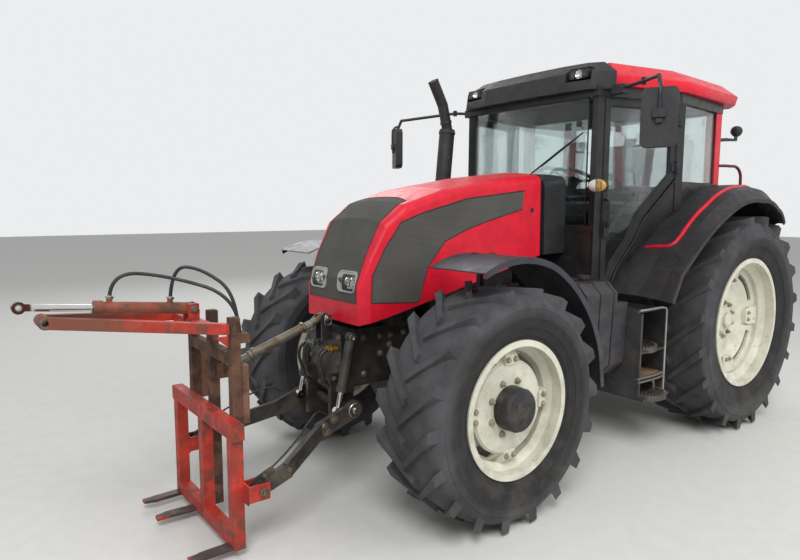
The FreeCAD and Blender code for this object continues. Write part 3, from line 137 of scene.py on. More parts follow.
# materials
def srgb(r, g, b):
    """Screen colour of 0 to 255 to linear light."""
    linear = [c / 255 / 12.92 if c <= 10 else ((c / 255 + 0.055) / 1.055) ** 2.4 for c in (r, g, b)]
    return (*linear, 1.0)


def surface(name):
    m = bpy.data.materials.new(name)
    m.use_nodes = True
    tree = m.node_tree
    return m, tree, tree.nodes["Principled BSDF"].inputs, add(tree, "TexCoord", "Object")


def bumped(tree, bsdf, height, strength, distance):
    bump = add(tree, "Bump", "Normal", {"Strength": strength, "Distance": distance, "Height": height})
    tree.links.new(bump, bsdf["Normal"])


def material(name, base, rough=0.5, metal=0.0, dirt=0.25, vary=0.12, bump=0.15, coat=0.0, specular=0.5,
             scale=9.0, bump_scale=120.0, dirt_col=(112, 97, 78), dirt_z=1.1, spots=None, spot_amount=0.0,
             spot_scale=14.0, streak=0.0, patch=None, soft=0.0005, patch_col=None, ring=None,
             ring_col=None):
    """Mottled base, rust or chips in spots, road dirt that thickens towards the ground, fine bump.
    patch holds the limits (axis, limit, sign) of another colour, ring its (x, z, near, far)."""
    m, tree, bsdf, pos = surface(name)
    for key, value in (("Metallic", metal), ("Coat Weight", coat), ("Coat Roughness", 0.22),
                       ("Specular IOR Level", specular)):
        bsdf[key].default_value = value
    place = tree.nodes.new("ShaderNodeSeparateXYZ")
    tree.links.new(pos, place.inputs[0])

    def noise(size, detail=4.0, roughness=0.6, where=pos):
        return add(tree, "TexNoise", "Fac", {"Scale": size, "Detail": detail, "Roughness": roughness,
                "Vector": where})

    def ramp(src, lo, hi, a=0.0, b=1.0):
        return add(tree, "MapRange", "Result", {"From Min": lo, "From Max": hi, "To Min": a, "To Max": b,
                "Value": src},
                   interpolation_type="SMOOTHSTEP")

    def mix(share, a, b):
        return add(tree, "Mix", "Result", {"Factor": share, "A": a, "B": b}, data_type="RGBA")

    def times(a, b):
        return add(tree, "Math", "Value", {0: a, 1: b}, operation="MULTIPLY")

    c = srgb(*base)[:3]
    dark = (*(v * (1 - vary) for v in c), 1.0)
    light = (*(min(1.0, v * (1 + vary) + 0.012 * vary) for v in c), 1.0)
    col = mix(ramp(noise(scale), 0.35, 0.65), dark, light)
    if spots:
        mask = ramp(noise(spot_scale, 8.0, 0.72), 0.62 - spot_amount * 0.25, 0.70 - spot_amount * 0.2)
        col = mix(times(mask, 0.92), col, srgb(*spots))
    if patch:
        inside = None
        for axis, limit, sign in patch:
            share = ramp(place.outputs[axis], limit - soft * sign, limit + soft * sign)
            inside = share if inside is None else times(inside, share)
        col = mix(inside, col, srgb(*patch_col))
    if ring:
        x, z, near, far = ring
        flat = add(tree, "CombineXYZ", 0, {"X": place.outputs["X"], "Z": place.outputs["Z"]})
        gap = add(tree, "VectorMath", "Value", {0: flat, 1: (x, 0, z)}, operation="DISTANCE")
        col = mix(ramp(gap, near, far), srgb(*ring_col), col)
    if dirt > 0:
        low = ramp(place.outputs["Z"], dirt_z + 0.5, dirt_z - 0.6, 0.22, 1.0)
        cloud = ramp(noise(6.5, 7.0, 0.68), 0.38, 0.68)
        col = mix(times(times(low, cloud), dirt), col, srgb(*dirt_col))
    if streak > 0:
        drawn = add(tree, "Mapping", "Vector", {"Scale": (26.0, 26.0, 1.6), "Vector": pos})
        col = mix(times(ramp(noise(1.0, 5.0, 0.5, drawn), 0.52, 0.72), streak), col, srgb(*dirt_col))
    tree.links.new(col, bsdf["Base Color"])
    wear = ramp(noise(scale * 2.2), 0.3, 0.7, max(0.04, rough - 0.08), min(1.0, rough + 0.1))
    tree.links.new(wear, bsdf["Roughness"])
    if bump > 0:
        bumped(tree, bsdf, noise(bump_scale, 3.0), bump, 0.002)
    return m


def mesh_material(name, base, across):
    """Perforated sheet: staggered rows of small dark holes, with a faint dish to each."""
    hole_pitch, rim_from, rim_to = 0.007, 0.30, 0.40
    m = material(name, base, 0.85, dirt=0.2, vary=0.08, bump=0.0, scale=4.0, specular=0.2)
    tree, bsdf = m.node_tree, m.node_tree.nodes["Principled BSDF"].inputs
    place = tree.nodes.new("ShaderNodeSeparateXYZ")
    tree.links.new(add(tree, "TexCoord", "Object"), place.inputs[0])
    x, y, z = place.outputs
    rise = add(tree, "Math", 0, {0: z, 1: x}, operation="SUBTRACT") if across == "Y" else z
    flat = add(tree, "CombineXYZ", 0, {"X": y if across == "Y" else x, "Y": rise})
    cells = add(tree, "TexVoronoi", "Distance", {"Scale": 1.0 / hole_pitch, "Randomness": 0.0,
            "Vector": flat},
                voronoi_dimensions="2D")
    sheet = add(tree, "MapRange", "Result", {"From Min": rim_from, "From Max": rim_to, "Value": cells})
    painted = bsdf["Base Color"].links[0].from_socket
    col = add(tree, "Mix", "Result", {"A": (0.030, 0.029, 0.026, 1), "Factor": sheet, "B": painted},
              data_type="RGBA")
    tree.links.new(col, bsdf["Base Color"])
    bumped(tree, bsdf, sheet, 0.5, 0.003)
    return m


def glass_material(name, tint, rough=0.02, body=0.0):
    m, tree, bsdf, pos = surface(name)
    for key, value in (("Base Color", (*tint, 1)), ("Roughness", rough), ("IOR", 1.45),
                       ("Transmission Weight", 1.0 - body), ("Specular IOR Level", 0.5),
                       ("Alpha", 0.5 if rough < 0.05 else 1.0)):
        bsdf[key].default_value = value
    bumped(tree, bsdf, add(tree, "TexNoise", "Fac", {"Scale": 3.0, "Vector": pos}), 0.03, 0.002)
    return m


def cloth_material(name, base, thread=900.0):
    m = material(name, base, 0.9, dirt=0.15, vary=0.18, bump=0.0, scale=30.0)
    tree, bsdf = m.node_tree, m.node_tree.nodes["Principled BSDF"].inputs
    bsdf["Sheen Weight"].default_value = 0.35
    pos = add(tree, "TexCoord", "Object")
    weft, warp = (add(tree, "TexWave", "Fac", {"Scale": thread / 6.3, "Distortion": 0.6, "Vector": pos},
                      bands_direction=axis) for axis in "XZ")
    bumped(tree, bsdf, add(tree, "Math", 0, {0: weft, 1: warp}, operation="ADD"), 0.5, 0.001)
    return m


# columns: slot, colour, roughness, metal, dirt, variation, bump, what else it has
LOOKS = {
    "red_paint": ("red_paint", (198, 14, 40), 0.42, 0, 0.05, 0.1, 0.05,
                  dict(coat=0.08, specular=0.4, dirt_col=(120, 90, 80), bump_scale=40)),
    "red_worn": ("rusty_red", (172, 44, 30), 0.6, 0, 0.35, 0.25, 0.3,
                 dict(dirt_col=(96, 58, 44), spots=(104, 54, 40), spot_amount=0.5, spot_scale=7, streak=0.3,
                      patch=(('X', 2.5, 1),), soft=0.12, patch_col=(112, 62, 46))),
    "black_paint": ("black_paint", (26, 27, 30), 0.38, 0, 0.2, 0.15, 0.06, {}),
    "cab_paint": ("black_paint", (24, 25, 28), 0.38, 0, 0.2, 0.15, 0.06,
                  dict(patch=(('X', -1.851, -1), ('Z', 1.932, 1), ('Z', 2.494, -1)),
                       patch_col=(192, 18, 42))),
    "exhaust_black": ("dark_metal", (34, 33, 34), 0.6, 0, 0.1, 0.18, 0.2,
                      dict(spots=(66, 54, 46), spot_amount=0.05)),
    "soot": ("dark_metal", (16, 15, 15), 0.95, 0, 0, 0.3, 0.3, {}),
    "lining": ("seat_cloth", (50, 50, 53), 0.9, 0, 0, 0.1, 0.3, dict(bump_scale=400)),
    "worn_steel": ("dark_metal", (84, 82, 80), 0.5, 0.5, 0.55, 0.25, 0.25,
                   dict(dirt_z=1.2, spots=(80, 58, 40), spot_amount=0.2)),
    "mud_steel": ("dark_metal", (108, 84, 60), 0.9, 0, 0.5, 0.3, 0.5, dict(dirt_z=1.5, spots=(70, 50, 36),
            spot_amount=0.4)),
    "chrome": ("steel", (205, 205, 203), 0.14, 1, 0, 0.05, 0, dict(patch=(('X', 2.872, 1),), soft=0.006,
            patch_col=(92, 52, 42))),
    "black_plastic": ("black_plastic", (27, 28, 32), 0.55, 0, 0.28, 0.16, 0.25, dict(bump_scale=260)),
    "fender_plastic": ("black_plastic", (38, 40, 48), 0.42, 0, 0.25, 0.14, 0.2, dict(bump_scale=240)),
    "tank_plastic": ("black_plastic", (44, 45, 50), 0.6, 0, 0.45, 0.16, 0.2,
                     dict(dirt_z=0.9, bump_scale=220)),
    "dark_metal": ("dark_metal", (40, 39, 41), 0.55, 0.1, 0.5, 0.2, 0.3,
                   dict(dirt_z=0.75, spots=(74, 58, 44), spot_amount=0.12, bump_scale=90)),
    "steel": ("steel", (150, 148, 142), 0.3, 0.9, 0.15, 0.1, 0.08,
              dict(spots=(95, 78, 60), spot_amount=0.1)),
    "stained_steel": ("steel", (112, 104, 92), 0.5, 0.6, 0.35, 0.2, 0.25,
                      dict(spots=(92, 62, 40), spot_amount=0.4)),
    "rusty_steel": ("rusty_steel", (96, 66, 50), 0.82, 0.15, 0.2, 0.28, 0.6,
                    dict(dirt_col=(60, 46, 38), spots=(58, 44, 38), spot_amount=0.55, spot_scale=8,
                         bump_scale=70, streak=0.35)),
    "cream_paint": ("cream_paint", (202, 200, 184), 0.42, 0, 0.38, 0.07, 0.08,
                    dict(coat=0.1, dirt_z=0.9, dirt_col=(112, 100, 78), spots=(150, 120, 90),
                         spot_amount=0)),
    "hose_rubber": ("hose_rubber", (26, 26, 28), 0.5, 0, 0.15, 0.15, 0.15, dict(bump_scale=300)),
    "bezel_dull": ("dark_metal", (96, 94, 90), 0.55, 0.2, 0.4, 0.12, 0.1, {}),
    "frosted": ("lamp_lens", (214, 214, 208), 0.3, 0.4, 0.1, 0.06, 0.1, {}),
    "fork_steel": ("dark_metal", (70, 66, 66), 0.5, 0.5, 0.4, 0.25, 0.3,
                   dict(dirt_col=(92, 66, 50), dirt_z=1, spots=(104, 62, 44), spot_amount=0.25,
                        patch=(('X', 2.125, -1),), soft=0.02, patch_col=(112, 54, 42))),
    "rusty_light": ("rusty_steel", (122, 84, 68), 0.8, 0.1, 0.3, 0.2, 0.4,
                    dict(dirt_col=(70, 50, 40), spots=(84, 56, 46), spot_amount=0.4, streak=0.3)),
    "amber_paint": ("rusty_red", (214, 150, 50), 0.5, 0, 0.2, 0.15, 0.1, {}),
    "dirty_cream": ("cream_paint", (158, 148, 126), 0.55, 0.2, 0.5, 0.15, 0.15,
                    dict(dirt_z=2, dirt_col=(92, 76, 58), spots=(104, 74, 50), spot_amount=0.25)),
    "step_steel": ("dark_metal", (40, 41, 44), 0.55, 0, 0.45, 0.16, 0.2,
                   dict(dirt_z=0.8, spots=(74, 60, 46), spot_amount=0.08, bump_scale=220,
                        patch=(('X', -0.585, 1),), patch_col=(47, 48, 53))),
    "tyre_front": ("tyre_rubber", (60, 60, 63), 0.85, 0, 0.35, 0.25, 0.35,
                   dict(dirt_z=0.4, dirt_col=(104, 96, 84), scale=5, bump_scale=60,
                        ring=(0.778, 0.665, 0.485, 0.575), ring_col=(31, 31, 33))),
    "tyre_rear": ("tyre_rubber", (57, 57, 60), 0.85, 0, 0.35, 0.25, 0.35,
                  dict(dirt_z=0.4, dirt_col=(104, 96, 84), scale=5, bump_scale=60,
                       ring=(-1.884, 0.845, 0.6, 0.72), ring_col=(34, 34, 36))),
    "reflector": ("steel", (222, 222, 220), 0.12, 1, 0, 0.03, 0, {}),
    "mirror_glass": ("glass", (205, 212, 216), 0.04, 1, 0, 0.02, 0, {}),
    "floor": ("floor", (205, 204, 200), 0.9, 0, 0, 0.02, 0, {}),
    "bezel_grey": ("black_plastic", (150, 150, 146), 0.4, 0, 0.2, 0.08, 0.05, {}),
    "grey_plastic": ("black_plastic", (92, 92, 94), 0.6, 0, 0.2, 0.12, 0.2, dict(bump_scale=240)),
    "seal_rubber": ("hose_rubber", (20, 20, 21), 0.62, 0, 0.15, 0.12, 0.1, {}),
    "rail_maroon": ("red_paint", (88, 18, 26), 0.4, 0, 0.2, 0.1, 0.05, {}),
    "ram_paint": ("rusty_steel", (126, 62, 42), 0.62, 0, 0.3, 0.2, 0.3,
                  dict(spots=(70, 48, 38), spot_amount=0.4, spot_scale=10, streak=0.25)),
    "brass": ("steel", (150, 118, 60), 0.4, 0.9, 0.3, 0.12, 0.1, {}),
}
MAT, SLOT = {}, {}
for look_name, (look_slot, base, rough, metal, dirt, vary, bump, more) in LOOKS.items():
    MAT[look_name] = material(look_name, base, rough, metal, dirt, vary, bump, **more)
    SLOT[look_name] = look_slot
for look_name, look_slot, made in (
        ("side_mesh", "dark_mesh", mesh_material("side_mesh", (92, 91, 87), "X")),
        ("front_mesh", "dark_mesh", mesh_material("front_mesh", (96, 95, 91), "Y")),
        ("glass", "glass", glass_material("glass", (0.6, 0.76, 0.74))),
        ("lamp_lens", "lamp_lens", glass_material("lamp_lens", (0.95, 0.96, 0.96), 0.08)),
        ("amber_lens", "lamp_lens", glass_material("amber_lens", (0.95, 0.52, 0.1), 0.12, 0.5)),
        ("tail_lens", "lamp_lens", glass_material("tail_lens", (0.7, 0.03, 0.03), 0.12, 0.5)),
        ("seat_cloth", "seat_cloth", cloth_material("seat_cloth", (46, 46, 50)))):
    MAT[look_name] = made
    SLOT[look_name] = look_slot

# the looks of the CAD's own nodes
FINISH = {
    "black_plastic": "radiator_pack cab_floor_and_cowl roof_visor steering_console "
        "mirrors door_left door_right rear_fenders",
    "tank_plastic": "fuel_tanks",
    "fender_plastic": "front_fender_left front_fender_right",
    "cab_paint": "cab_frame",
    "step_steel": "cab_steps",
    "exhaust_black": "exhaust_stack",
    "black_paint": "front_support rear_lift_arms rear_lift_rods rear_top_link",
    "red_paint": "bonnet_shell cab_roof",
    "red_worn": "lift_frame_carriage lift_frame_arms",
    "dark_metal": "engine_block transmission_housing front_axle_beam knuckle_left "
        "knuckle_right rear_hitch rear_lower_links front_lift_rams front_lift_arms",
    "stained_steel": "front_top_link",
    "ram_paint": "grab_cylinder",
    "chrome": "front_lift_ram_rods grab_cylinder_rod",
    "steel": "pto_shaft",
    "rusty_steel": "lift_frame_masts",
    "cream_paint": "front_rim_left front_rim_right rear_rim_left rear_rim_right",
    "tyre_front": "front_tyre_left front_tyre_right",
    "tyre_rear": "rear_tyre_left rear_tyre_right",
    "side_mesh": "bonnet_side_mesh",
    "front_mesh": "front_grille",
    "glass": "cab_glass door_left_glass door_right_glass",
    "lamp_lens": "headlamps lamps",
    "hose_rubber": "hose_front_port hose_rear_port",
    "seat_cloth": "driver_seat",
}
for look_name, nodes in FINISH.items():
    for node_name in nodes.split():
        for material_slot in NODE[node_name].material_slots:
            material_slot.link = "OBJECT"
            material_slot.material = MAT[look_name]


# hoses that lie free, and what joins rings to a skin
def skin(bm, rings, first=False, last=False):
    """Faces between rings that have as many corners, and over the end rings where asked."""
    for a, b in zip(rings, rings[1:]):
        for k in range(len(a)):
            j = (k + 1) % len(a)
            bm.faces.new((a[k], a[j], b[j], b[k]))
    if first:
        bm.faces.new(rings[0][::-1])
    if last:
        bm.faces.new(rings[-1])


def cord_tube(name, route, radius, node):
    """A hose along its route's NURBS line, between the frame and the ram it feeds."""
    cu = bpy.data.curves.new(name + "_route", "CURVE")
    cu.dimensions = "3D"
    sp = cu.splines.new("NURBS")
    sp.points.add(len(route) - 1)
    for p, q in zip(sp.points, route):
        p.co = (q[0], q[1], q[2], 1)
    sp.order_u = 3
    sp.use_endpoint_u = True
    sp.resolution_u = 14
    tmp = bpy.data.objects.new(name + "_route", cu)
    bpy.context.collection.objects.link(tmp)
    bpy.context.view_layer.update()
    drawn = bpy.data.meshes.new_from_object(tmp.evaluated_get(bpy.context.evaluated_depsgraph_get()))
    pts = [v.co.copy() for v in drawn.vertices]
    bpy.data.objects.remove(tmp)
    bm = bmesh.new()
    rings, side = [], Vector((0, 1, 0))
    for i, p in enumerate(pts):
        t = (pts[min(i + 1, len(pts) - 1)] - pts[max(i - 1, 0)]).normalized()
        side = (side - t * side.dot(t)).normalized()
        up = t.cross(side)
        turns = [k * math.tau / 14 for k in range(14)]
        rings.append([bm.verts.new(p + (side * math.cos(a) + up * math.sin(a)) * radius) for a in turns])
    skin(bm, rings, True, True)
    me = bpy.data.meshes.new(name)
    bm.to_mesh(me)
    bm.free()
    me.polygons.foreach_set("use_smooth", [True] * len(me.polygons))
    ob = bpy.data.objects.new(name, me)
    bpy.context.collection.objects.link(ob)
    me.materials.append(MAT["hose_rubber"])
    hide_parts(node)
    long = sum((b - a).length for a, b in zip(pts, pts[1:]))
    [tuple(p) for p in pts]
    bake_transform(ob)
    return ob


HOSE_LONG = line(1, (4423, 0, 1305.5), (4410, 0, 1425), (4170, 40, 1400), (3872, 250, 1290),
                 (3872, 250, 1106.5))
HOSE_SHORT = line(1, (4134, 0, 1277.5), (4120, 0, 1440), (3990, 60, 1425), (3868, 222, 1300),
                  (3868, 222, 1106.5))
cord_tube("hose_front_port_rubber", HOSE_LONG, 0.009, "hose_front_port")
cord_tube("hose_rear_port_rubber", HOSE_SHORT, 0.009, "hose_rear_port")


# builders of small pieces
def rounded_edges(ob, width, segments, least_angle):
    bevel = ob.modifiers.new("bevel", "BEVEL")
    bevel.width, bevel.segments, bevel.harden_normals = width, segments, True
    bevel.limit_method, bevel.angle_limit = "ANGLE", math.radians(least_angle)
    return bevel


def mesh_piece(name, bm, mat, body="chassis", sharp=38.0, bevel=0.0, seg=2):
    bmesh.ops.recalc_face_normals(bm, faces=bm.faces)
    for e in bm.edges:
        e.smooth = len(e.link_faces) == 2 and e.calc_face_angle(3.1) < math.radians(sharp)
    for f in bm.faces:
        f.smooth = True
    me = bpy.data.meshes.new(name)
    bm.to_mesh(me)
    bm.free()
    ob = bpy.data.objects.new(name, me)
    bpy.context.collection.objects.link(ob)
    me.materials.append(MAT[mat])
    if bevel:
        rounded_edges(ob, bevel, seg, 32)
    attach(ob, body)
    return ob


def frame_of(axis, up=(0, 0, 1)):
    """A turn whose Z is axis."""
    z = Vector(axis).normalized()
    x = Vector(up).cross(z)
    if x.length < 1e-4:
        x = Vector((1, 0, 0))
    x.normalize()
    return Matrix((x, z.cross(x), z)).transposed().to_4x4()


def place(where, axis, up=(0, 0, 1)):
    return Matrix.Translation(where) @ frame_of(axis, up)


def tilted(where, degrees, about):
    return Matrix.Translation(where) @ Matrix.Rotation(math.radians(degrees), 4, about)


def spun(bm, centre, axis, profile, sides=48, start=0.0):
    """Profile rows are along the axis, then radius, in metres; rows of radius 0 close the form."""
    m = place(Vector(centre), axis)
    turns = [start + math.tau * k / sides for k in range(sides)]
    rows = []
    for h, r in profile:
        if r < 1e-6:
            rows.append([bm.verts.new(m @ Vector((0, 0, h)))])
        else:
            rows.append([bm.verts.new(m @ Vector((r * math.cos(a), r * math.sin(a), h))) for a in turns])
    for a, b in zip(rows, rows[1:]):
        for k in range(sides):
            j = (k + 1) % sides
            if len(a) == 1 and len(b) == 1:
                continue
            if len(a) == 1:
                bm.faces.new((a[0], b[k], b[j]))
            elif len(b) == 1:
                bm.faces.new((a[k], b[0], a[j]))
            else:
                bm.faces.new((a[k], b[k], b[j], a[j]))


def bolt(bm, at, axis, r=0.011, h=0.009, turn=0.0):
    """A washer, a hexagon with its corners taken off and a domed end of thread, sunk 1 mm into what it holds."""
    spun(bm, at, axis, [(-0.001, 0), (-0.001, r * 1.42), (0.0022, r * 1.42), (0.0030, r * 1.34),
                        (0.0030, 0)], 20)
    spun(bm, at, axis, [(0.002, 0), (0.002, r * 1.12), (0.002 + h * 0.82, r * 1.12), (0.002 + h, r * 0.92),
                        (0.002 + h, 0)], 6, turn)
    spun(bm, at, axis, [(0.002 + h * 0.9, 0), (0.002 + h * 0.9, r * 0.55), (0.002 + h * 1.35, r * 0.5),
                        (0.002 + h * 1.45, 0)], 12)


def bolts(name, spots, r, h, body="chassis", mat="stained_steel"):
    """Spots are (point, axis)."""
    bm = bmesh.new()
    for i, (p, a) in enumerate(spots):
        bolt(bm, p, a, r, h, 0.37 * i)
    return mesh_piece(name, bm, mat, body)


def beside(s, y, *spots):
    """Bolt places on a flat side at s times y, by their x and z."""
    return [(W(x, s * y, z), (0, s, 0)) for x, z in spots]


def slab(bm, m, outline, z0, z1):
    """An outline in x and y of the matrix, thick from z0 to z1."""
    skin(bm, [[bm.verts.new(m @ Vector((x, y, z))) for x, y in outline] for z in (z0, z1)], True, True)


def turned(name, mat, centre, axis, profile, sides, body="chassis", **finish):
    """A piece that is one spun form."""
    bm = bmesh.new()
    spun(bm, centre, axis, profile, sides)
    return mesh_piece(name, bm, mat, body, **finish)


def plate(name, mat, m, outline, z0, z1, body="chassis", **finish):
    """A piece that is one slab."""
    bm = bmesh.new()
    slab(bm, m, outline, z0, z1)
    return mesh_piece(name, bm, mat, body, **finish)


def rounded(w, h, r, n=5):
    """A rectangle with round corners about the origin."""
    out = []
    for cx, cy, a0 in ((w / 2 - r, h / 2 - r, 0), (-w / 2 + r, h / 2 - r, 90),
                       (-w / 2 + r, -h / 2 + r, 180), (w / 2 - r, -h / 2 + r, 270)):
        for k in range(n + 1):
            a = math.radians(a0 + 90 * k / n)
            out.append((cx + r * math.cos(a), cy + r * math.sin(a)))
    return out


def pipe(name, pts, r, mat, body="chassis", cyclic=False, kind="POLY", radii=None):
    """A bent bar or moulding along points; radii are shares of r at each point."""
    cu = bpy.data.curves.new(name, "CURVE")
    cu.dimensions = "3D"
    cu.bevel_depth, cu.bevel_resolution = r, 4
    cu.use_fill_caps = True
    sp = cu.splines.new("BEZIER" if kind == "BEZIER" else "POLY")
    if kind == "BEZIER":
        sp.bezier_points.add(len(pts) - 1)
        for b, p in zip(sp.bezier_points, pts):
            b.co = p
            b.handle_left_type = b.handle_right_type = "AUTO"
        sp.resolution_u = 8
    else:
        sp.points.add(len(pts) - 1)
        for b, p in zip(sp.points, pts):
            b.co = (p[0], p[1], p[2], 1)
    for b, share in zip(sp.bezier_points if kind == "BEZIER" else sp.points, radii or []):
        b.radius = share
    sp.use_cyclic_u = cyclic
    ob = bpy.data.objects.new(name, cu)
    bpy.context.collection.objects.link(ob)
    cu.materials.append(MAT[mat])
    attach(ob, body)
    return ob


TREES = {}


def hit(nodes, start, way):
    """Where a ray from start first meets the CAD nodes, and the face's direction there."""
    best = None
    for nm in nodes:
        if nm not in TREES:
            TREES[nm] = BVHTree.FromObject(NODE[nm], bpy.context.evaluated_depsgraph_get())
        at, normal, index, far = TREES[nm].ray_cast(Vector(start), Vector(way).normalized())
        if at is not None and (best is None or far < best[2]):
            best = (at, normal, far)
    return best


def laid(nodes, pts, way, lift=0.001):
    """Points dropped along a direction onto CAD nodes, lifted a little off them."""
    out = []
    for p in pts:
        h = hit(nodes, p, way)
        if h:
            nrm = h[1] if h[1].dot(Vector(way)) < 0 else -h[1]
            out.append(h[0] + nrm * lift)
    return out


# rounded edges on the cut plates and castings
ROUNDED = {
    0.0025: "cab_frame cab_steps rear_hitch lift_frame_masts lift_frame_carriage lift_frame_arms "
        "front_lift_arms rear_lower_links rear_lift_arms door_left door_right steering_console",
    0.005: "front_axle_beam knuckle_left knuckle_right front_support transmission_housing engine_block",
    0.004: "front_tyre_left front_tyre_right rear_tyre_left rear_tyre_right",
    0.008: "roof_visor cab_roof fuel_tanks",
}
for width, names in ROUNDED.items():
    for nm in names.split():
        NODE[nm].modifiers.new("weld", "WELD").merge_threshold = 0.00005
        rounded_edges(NODE[nm], width, 2, 35).use_clamp_overlap = True

# wheels
FRONT_AXLE_X = 2662
WHEELS = [("front_left", FRONT_AXLE_X, 875, 665, 1, "front_wheel_l"), ("front_right", FRONT_AXLE_X, -875,
        665, -1, "front_wheel_r"),
          ("rear_left", 0, 860, 845, 1, "rear_wheel_l"), ("rear_right", 0, -860, 845, -1, "rear_wheel_r")]
# columns: across, radius; the carcass that shows between the lugs, from the outer bead over the crown
# to the inner bead
CARCASS = {"front": [(186, 390), (193, 404), (200, 408), (201, 414), (207, 424), (216, 446), (217, 449),
                     (220, 449), (224, 470), (229, 500), (230.5, 503), (231, 506), (229.5, 509), (230, 530),
                     (229, 552), (231, 554), (230, 558), (226, 561),
                     (218, 580), (202, 603), (180, 616), (130, 627), (60, 633), (0, 635)],
           "rear": [(202, 517), (210, 534), (216, 540), (217, 547), (226, 562), (240, 596), (241.5, 600),
                    (245, 600), (252, 628), (260, 660), (263, 664), (263.5, 668), (262, 671), (263, 700),
                    (261, 722), (263.5, 725), (262, 730), (257, 734),
                    (250, 756), (236, 778), (212, 789), (150, 797), (70, 802), (0, 804)]}
for key, x, y, z, side, body in WHEELS:
    bm = bmesh.new()
    rows = CARCASS[key.split("_")[0]]
    both = [(a / 1000, r / 1000) for a, r in rows] + [(-a / 1000, r / 1000) for a, r in rows[-2::-1]]
    spun(bm, W(x, y, z), (0, 1, 0), both, 120)
    mesh_piece("tyre_carcass_" + key, bm, "tyre_" + key.split("_")[0], body, sharp=28)

TABS = {"front": dict(wedge=[(0.236, 0.110), (0.236, 0.131), (0.290, 0.131), (0.318, 0.095), (0.318, 0.052),
                             (0.300, 0.060)], half=0.045, bolt_r=0.268, bolt_h=0.131,
                      nuts=8, nut_r=0.150, nut_h=0.1185, nut=0.0135, valve=(0.330, 0.052)),
        "rear": dict(wedge=[(0.292, 0.030), (0.292, 0.074), (0.352, 0.074), (0.424, 0.096), (0.424, 0.074),
                            (0.350, 0.055)], half=0.060, bolt_r=0.322, bolt_h=0.074,
                     nuts=10, nut_r=0.137, nut_h=0.0195, nut=0.015, valve=(0.445, 0.085))}
HUB_CAP = [(0.1185, 0.0), (0.1185, 0.121), (0.125, 0.1215), (0.150, 0.1212), (0.153, 0.1195),
           (0.156, 0.1212), (0.196, 0.119), (0.206, 0.115), (0.2125, 0.107), (0.2150, 0.096),
           (0.2160, 0.070), (0.2155, 0.046),
           (0.2185, 0.043), (0.2190, 0.036), (0.2160, 0.031), (0.2130, 0.028), (0.2125, 0.0)]
REAR_DOME = [(0.0600, 0.0), (0.0600, 0.062), (0.0640, 0.062), (0.0650, 0.058), (0.0720, 0.052),
             (0.0780, 0.040), (0.0810, 0.022), (0.0815, 0.0)]
for key, x, y, z, side, body in WHEELS:
    spec, turn = TABS[key.split("_")[0]], frame_of((0, side, 0))
    hub = Matrix.Translation(W(x, y, z)) @ turn

    def at(r, a, h):
        return hub @ Vector((r * math.cos(a), r * math.sin(a), h))

    out = Vector((0, side, 0))
    bolts("wheel_nuts_" + key, [(at(spec["nut_r"], math.tau * (k + 0.5) / spec["nuts"], spec["nut_h"]),
                                 out) for k in range(spec["nuts"])], spec["nut"], 0.018, body=body,
                                 mat="dirty_cream")
    bm = bmesh.new()
    for quarter in range(4):
        a = math.tau * quarter / 4
        rows = [[bm.verts.new(hub @ (Matrix.Rotation(a, 4, "Z")
                                     @ Vector((r, s * spec["half"] * (1.0 if r < spec["bolt_r"] + 0.03
                                             else 1.25), h)))) for r, h in spec["wedge"]] for s in (-1, 1)]
        skin(bm, rows)
        bm.faces.new(rows[0])
        bm.faces.new(rows[1][::-1])
    mesh_piece("rim_tabs_" + key, bm, "cream_paint", body, bevel=0.006, seg=3)
    bolts("rim_tab_bolts_" + key,
          [(at(spec["bolt_r"], math.tau * q / 4 + s * 0.028 / spec["bolt_r"], spec["bolt_h"]), out)
           for q in range(4) for s in (-1, 1)], 0.0125, 0.013, body=body, mat="dirty_cream")
    bm = bmesh.new()
    r, h = spec["valve"]
    spun(bm, at(r, -0.62, h - 0.012), out, [(-0.004, 0), (-0.004, 0.007), (0.018, 0.006), (0.018, 0.0045),
                                            (0.040, 0.0045), (0.041, 0.006), (0.050, 0.006), (0.052, 0.004),
                                            (0.052, 0)], 14)
    mesh_piece("valve_" + key, bm, "brass", body)
    bm = bmesh.new()
    if spec["nuts"] == 8:
        spun(bm, W(x, y, z), out, HUB_CAP, 72)
        for k in range(3):
            bolt(bm, at(0.060, math.tau * (k + 0.2) / 3, 0.2125), out, 0.006, 0.004)
        mesh_piece("hub_cap_" + key, bm, "black_plastic", body, sharp=24)
    else:
        spun(bm, W(x, y, z), out, REAR_DOME, 48)
        mesh_piece("axle_end_cap_" + key, bm, "cream_paint", body, sharp=30)

